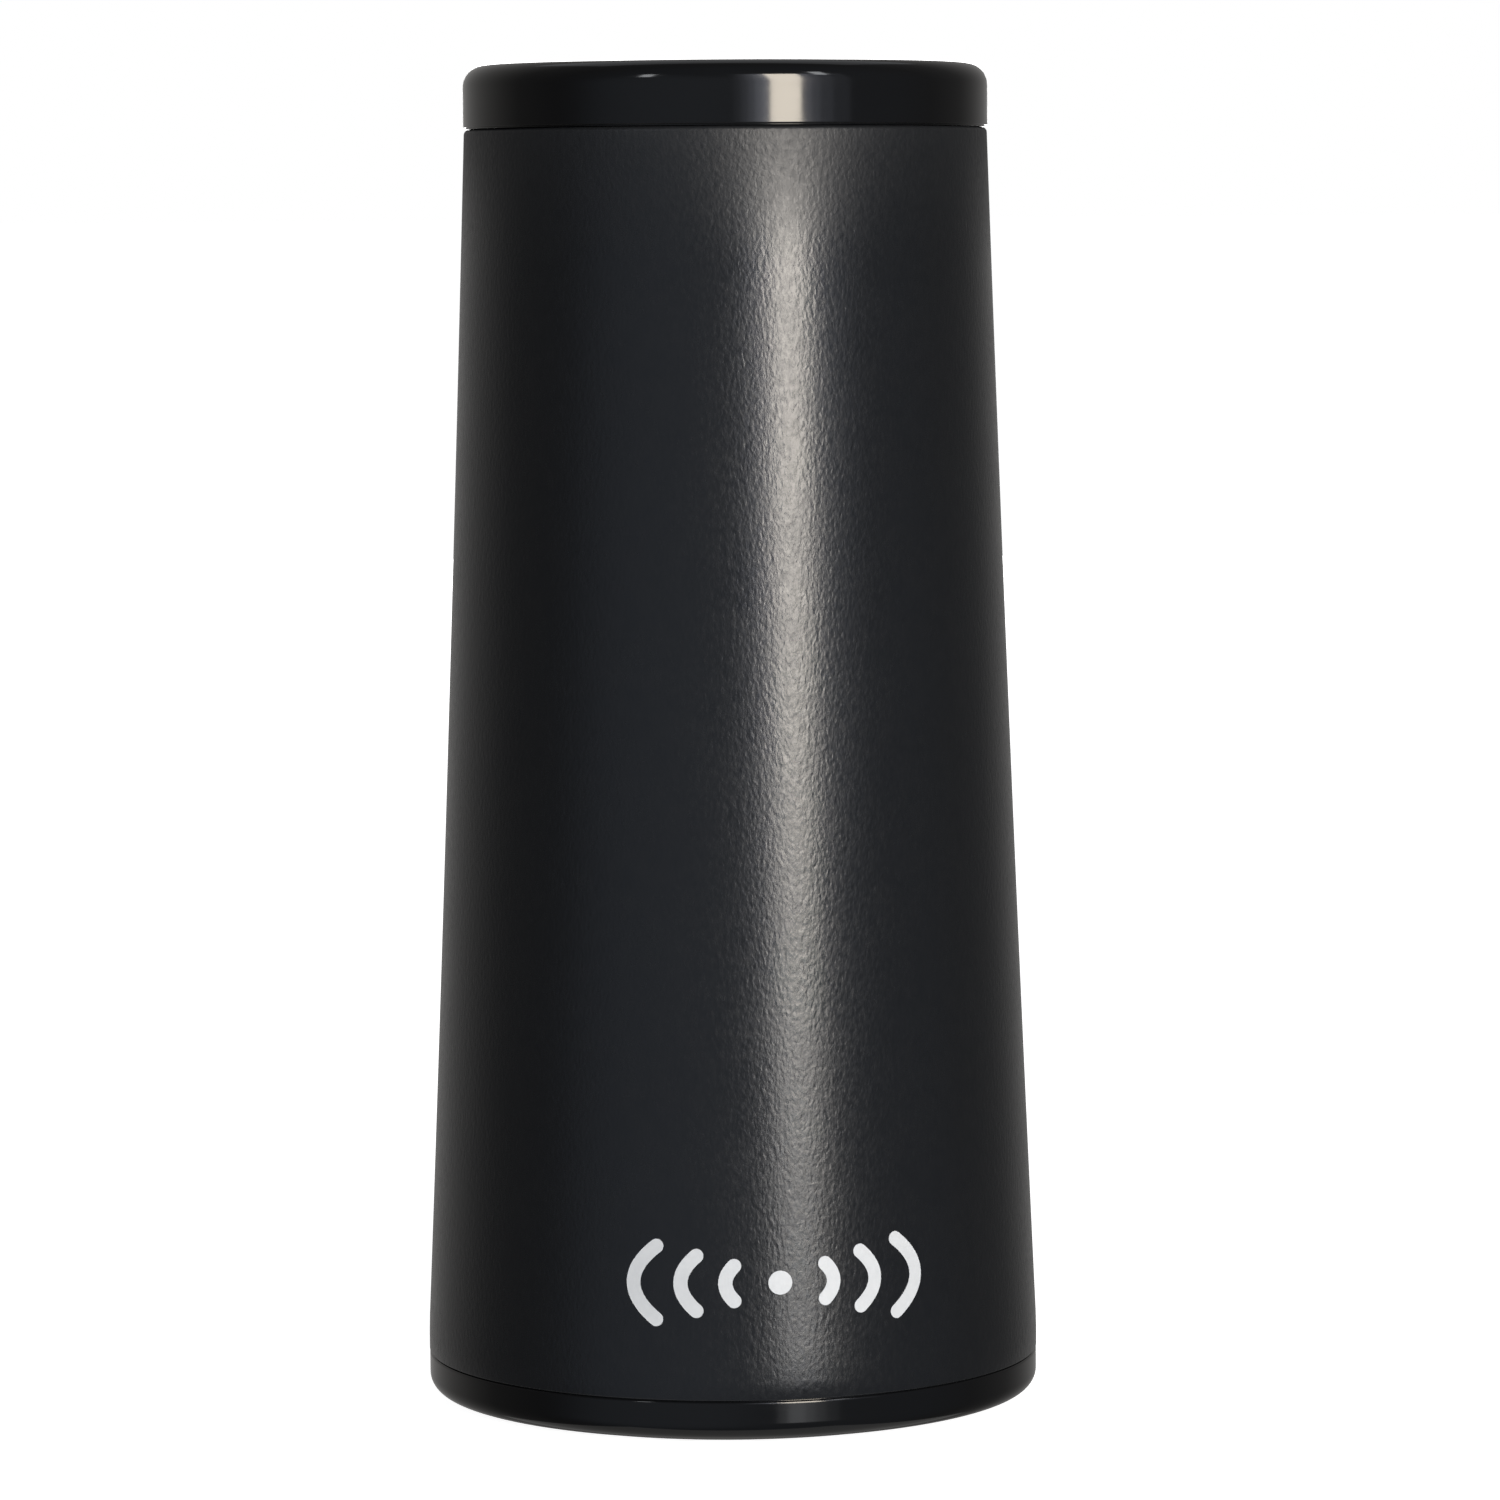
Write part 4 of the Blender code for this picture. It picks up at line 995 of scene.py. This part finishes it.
def make_hat():
    """The capacitance disc, drilled for the element's end, and the spring washer on it."""
    lead_hole = 0.9
    hat = [(SCREW_HOLE, HAT_TOP), (HAT_RADIUS, HAT_TOP), (HAT_RADIUS, HAT_BOTTOM), (SCREW_HOLE, HAT_BOTTOM)]
    disc = turned("capacitance_disc", hat, "brass", ["top_hat"], DISC, soft=0.1)
    cut(disc, drill(lead_hole, HAT_BOTTOM, HAT_TOP, (ELEMENT_RADIUS, 0)))
    washer = [(SCREW_HOLE, WASHER_TOP), (WASHER_RADIUS, WASHER_TOP)]
    washer += [(WASHER_RADIUS, WASHER_BOTTOM), (SCREW_HOLE, WASHER_BOTTOM)]
    turned("spring_washer", washer, "spring_steel", ["hat_washer"], soft=0.08)


def make_foam():
    """A foam disc with crowned faces, bulging sides and soft edges."""
    hole = 4.0
    bulge = 0.25
    face_steps = 12
    side_steps = 8
    middle = (FOAM_BOTTOM + FOAM_TOP) / 2
    half = (FOAM_TOP - FOAM_BOTTOM) / 2
    upper = []
    lower = []
    for step in range(face_steps + 1):
        t = step / face_steps
        r = hole + (FOAM_RADIUS - hole) * t
        crown = half * (1 - 0.06 * (2 * t - 1) ** 4)
        upper.append((r, middle + crown))
        lower.append((r, middle - crown))
    edge = []
    for step in range(1, side_steps):
        t = 1 - 2 * step / side_steps
        edge.append((FOAM_RADIUS - bulge + bulge * (1 - t * t), middle + half * t))
    mesh = lathe_mesh("foam_disc", softened(upper + edge + lower[::-1], 0.9, steps=5), DISC)
    pad = piece("foam_disc", mesh, "grey_foam", stands_for=["foam_pad"])
    cut(pad, box_mesh("lead_room", (1.8, 1.8, 3.0), (ELEMENT_RADIUS, 0, FOAM_BOTTOM), 0.0, 0.3))


def finish_cad_nodes():
    """The CAD nodes that stay take their finishes by the record's slots."""
    for part in frame["record"]["subparts"]:
        mesh = frame["nodes"][part["node"]].data
        mesh.materials.clear()
        mesh.materials.append(FINISHES[part["material_slot"]])


# ---------------------------------------------------------------- floor, lights, camera
def make_floor():
    """A pale floor that only the camera sees, and only from above."""
    side = 40.0
    z = -0.02 * MM
    mesh = bpy.data.meshes.new("floor")
    corners = [(-side, -side, z), (side, -side, z), (side, side, z), (-side, side, z)]
    mesh.from_pydata(corners, [], [(0, 1, 2, 3)])
    floor = bpy.data.objects.new("floor", mesh)
    bpy.context.scene.collection.objects.link(floor)
    for ray in ("diffuse", "glossy", "transmission", "shadow", "volume_scatter"):
        setattr(floor, "visible_" + ray, False)
    material = bpy.data.materials.new("pale_floor")
    material.use_nodes = True
    nodes = material.node_tree.nodes
    links = material.node_tree.links
    nodes.clear()
    glow = nodes.new("ShaderNodeEmission")
    glow.inputs["Strength"].default_value = 0.96
    matt = nodes.new("ShaderNodeBsdfDiffuse")
    matt.inputs["Color"].default_value = (0.62, 0.62, 0.62, 1)
    both = nodes.new("ShaderNodeAddShader")
    clear = nodes.new("ShaderNodeBsdfTransparent")
    geometry = nodes.new("ShaderNodeNewGeometry")
    mix = nodes.new("ShaderNodeMixShader")
    output = nodes.new("ShaderNodeOutputMaterial")
    links.new(glow.outputs[0], both.inputs[0])
    links.new(matt.outputs[0], both.inputs[1])
    links.new(geometry.outputs["Backfacing"], mix.inputs[0])
    links.new(both.outputs[0], mix.inputs[1])
    links.new(clear.outputs[0], mix.inputs[2])
    links.new(mix.outputs[0], output.inputs["Surface"])
    mesh.materials.append(material)


COOL = (0.84, 0.96, 1.16)
PLAIN = (1.02, 1.00, 0.98)
# The room's brightness from the front (0) to the back (1) of its axis, which turns to the left.
ROOM_AXIS = (-0.20, 0.98, 0.0)
ROOM_LEVELS = (
    (0.0, 0.10, COOL),
    (0.3, 0.085, COOL),
    (0.5, 0.05, PLAIN),
    (0.7, 0.10, PLAIN),
    (0.85, 0.22, PLAIN),
    (1.0, 0.30, PLAIN),
)
# A soft haze in front, a little to the left and below.
HAZE_AXIS = (-0.45, -0.885, -0.12)
HAZE_LEVEL = 0.13
HAZE_EDGE = 0.70


def make_world():
    """White behind the object for the camera, and a dim grey room for everything else."""
    world = bpy.data.worlds.new("studio")
    world.use_nodes = True
    bpy.context.scene.world = world
    nodes = world.node_tree.nodes
    links = world.node_tree.links
    room = nodes["Background"]
    where = nodes.new("ShaderNodeTexCoord").outputs["Generated"]

    def along(axis, low, high, start, end, interpolation):
        """Start to end, as the direction's part along the axis goes from low to high."""
        dot = nodes.new("ShaderNodeVectorMath")
        dot.operation = "DOT_PRODUCT"
        dot.inputs[1].default_value = axis
        ramp = nodes.new("ShaderNodeMapRange")
        ramp.interpolation_type = interpolation
        links.new(where, dot.inputs[0])
        links.new(dot.outputs["Value"], ramp.inputs["Value"])
        for key, value in {1: low, 2: high, 3: start, 4: end}.items():
            ramp.inputs[key].default_value = value
        return ramp.outputs["Result"]

    brightness = nodes.new("ShaderNodeValToRGB")
    stops = brightness.color_ramp.elements
    for _ in range(len(ROOM_LEVELS) - 2):
        stops.new(0.5)
    for index, (position, level, tint) in enumerate(ROOM_LEVELS):
        stops[index].position = position
        stops[index].color = (*(level * channel for channel in tint), 1)
    haze = nodes.new("ShaderNodeVectorMath")
    haze.operation = "SCALE"
    haze.inputs[0].default_value = COOL
    total = nodes.new("ShaderNodeVectorMath")
    across_room = along(ROOM_AXIS, -1.0, 1.0, 0.0, 1.0, "LINEAR")
    into_haze = along(HAZE_AXIS, HAZE_EDGE, 1.0, 0.0, HAZE_LEVEL, "SMOOTHSTEP")
    links.new(across_room, brightness.inputs["Fac"])
    links.new(into_haze, haze.inputs["Scale"])
    links.new(brightness.outputs["Color"], total.inputs[0])
    links.new(haze.outputs[0], total.inputs[1])
    links.new(total.outputs[0], room.inputs["Color"])
    seen = nodes.new("ShaderNodeBackground")
    seen.inputs["Color"].default_value = (1, 1, 1, 1)
    path = nodes.new("ShaderNodeLightPath")
    mix = nodes.new("ShaderNodeMixShader")
    links.new(path.outputs["Is Camera Ray"], mix.inputs[0])
    links.new(room.outputs[0], mix.inputs[1])
    links.new(seen.outputs[0], mix.inputs[2])
    links.new(mix.outputs[0], nodes["World Output"].inputs["Surface"])


AIM = Vector((0, 0, 45)) * MM
LIGHT_DISTANCE = 0.9


def panel(name, azimuth, elevation, width, height, radiance, colour):
    """A soft light seen from the object at these angles, with its size as angles too.

    Azimuth 0 is at the camera's side, and grows towards +X.
    """
    light = bpy.data.lights.new(name, "AREA")
    light.shape = "RECTANGLE"
    light.size = 2 * LIGHT_DISTANCE * tan(radians(width / 2))
    light.size_y = 2 * LIGHT_DISTANCE * tan(radians(height / 2))
    light.color = colour
    light.energy = radiance * pi * light.size * light.size_y
    obj = bpy.data.objects.new(name, light)
    bpy.context.scene.collection.objects.link(obj)
    a, e = radians(azimuth), radians(elevation)
    away = Vector((sin(a) * cos(e), -cos(a) * cos(e), sin(e)))
    obj.location = AIM + away * LIGHT_DISTANCE
    obj.rotation_euler = away.to_track_quat("Z", "Y").to_euler()
    obj.visible_camera = False


KEY_ELEVATION = 17
KEY_HEIGHT = 38
TABLE_ELEVATION = -12
TABLE_HEIGHT = 8
# Azimuth, width and radiance of the dimmer bands on both sides of the key light.
SHOULDERS = (
    (17.6, 3.4, 2.6),
    (14.4, 3.0, 1.7),
    (11.4, 3.0, 0.9),
    (8.4, 3.0, 0.45),
    (5.4, 3.0, 0.15),
    (35.6, 4.4, 1.5),
    (39.8, 4.0, 0.9),
    (44.8, 6.0, 0.5),
    (51.8, 8.0, 0.22),
)
# The same for the key light's glow on the table, which shows in the foot.
TABLE_GLOW = (
    (18.5, 4.0, 0.5),
    (23.5, 6.0, 1.4),
    (28.5, 4.0, 0.9),
    (32.5, 4.0, 0.5),
    (37.0, 5.0, 0.2),
)
WARM = (1.0, 0.935, 0.85)
VIOLET = (0.88, 0.95, 1.17)
COOLER = (0.92, 0.97, 1.06)
NEUTRAL = (0.98, 0.99, 1.0)
WHITE = (1, 1, 1)


def make_lights():
    panel("key", 26.3, KEY_ELEVATION, 14.0, KEY_HEIGHT, 18.5, WARM)
    for number, (azimuth, width, radiance) in enumerate(SHOULDERS, 1):
        panel(f"shoulder_{number}", azimuth, KEY_ELEVATION, width, KEY_HEIGHT, radiance, VIOLET)
    for number, (azimuth, width, radiance) in enumerate(TABLE_GLOW, 1):
        panel(f"table_glow_{number}", azimuth, TABLE_ELEVATION, width, TABLE_HEIGHT, radiance, COOLER)
    panel("key_foot", 24.5, -6, 14, 6, 5.5, NEUTRAL)
    panel("lamp_right", 46, 38, 5, 14, 6.5, COOLER)
    panel("lamp_left", -36, 31, 5, 12, 6.5, COOLER)
    panel("back_strip", 180, 12, 12, 44, 4.0, WHITE)
    panel("back_sky", 180, 62, 50, 30, 0.35, COOLER)
    panel("ground", 0, -90, 76, 76, 0.4, WHITE)


# The camera: millimetres and degrees.
FOCAL_LENGTH = 148.47
SENSOR = 36.0
CAMERA_PLACE = (1.294, -384.44, 73.97)
CAMERA_PITCH = 5.011
CAMERA_ROLL = 0.354


def make_camera():
    """Looks along +Y, pitched down and rolled a little."""
    data = bpy.data.cameras.new("camera")
    data.sensor_width = SENSOR
    data.lens = FOCAL_LENGTH
    data.clip_start = 0.01
    data.clip_end = 100.0
    camera = bpy.data.objects.new("camera", data)
    bpy.context.scene.collection.objects.link(camera)
    bpy.context.scene.camera = camera
    pitch, roll = radians(CAMERA_PITCH), radians(CAMERA_ROLL)
    up = Vector((0, sin(pitch), cos(pitch)))
    right = Vector((1, 0, 0))
    ahead = Vector((0, cos(pitch), -sin(pitch)))
    rolled_right = right * cos(roll) - up * sin(roll)
    rolled_up = right * sin(roll) + up * cos(roll)
    turn = Matrix((rolled_right, rolled_up, -ahead)).transposed().to_4x4()
    camera.matrix_world = Matrix.Translation(Vector(CAMERA_PLACE) * MM) @ turn


def main():
    make_camera()
    make_floor()
    make_world()
    make_lights()
    finish_cad_nodes()
    make_radome()
    make_cap()
    make_base()
    make_gasket()
    make_insert()
    make_seals()
    make_sign()
    make_bush()
    make_barrel()
    make_plunger()
    make_spring()
    make_screws()
    make_board()
    make_air_coil()
    make_capacitor()
    make_former()
    make_element()
    make_hat()
    make_foam()
    view = bpy.context.scene.view_settings
    view.view_transform = "Standard"
    view.look = "None"


main()
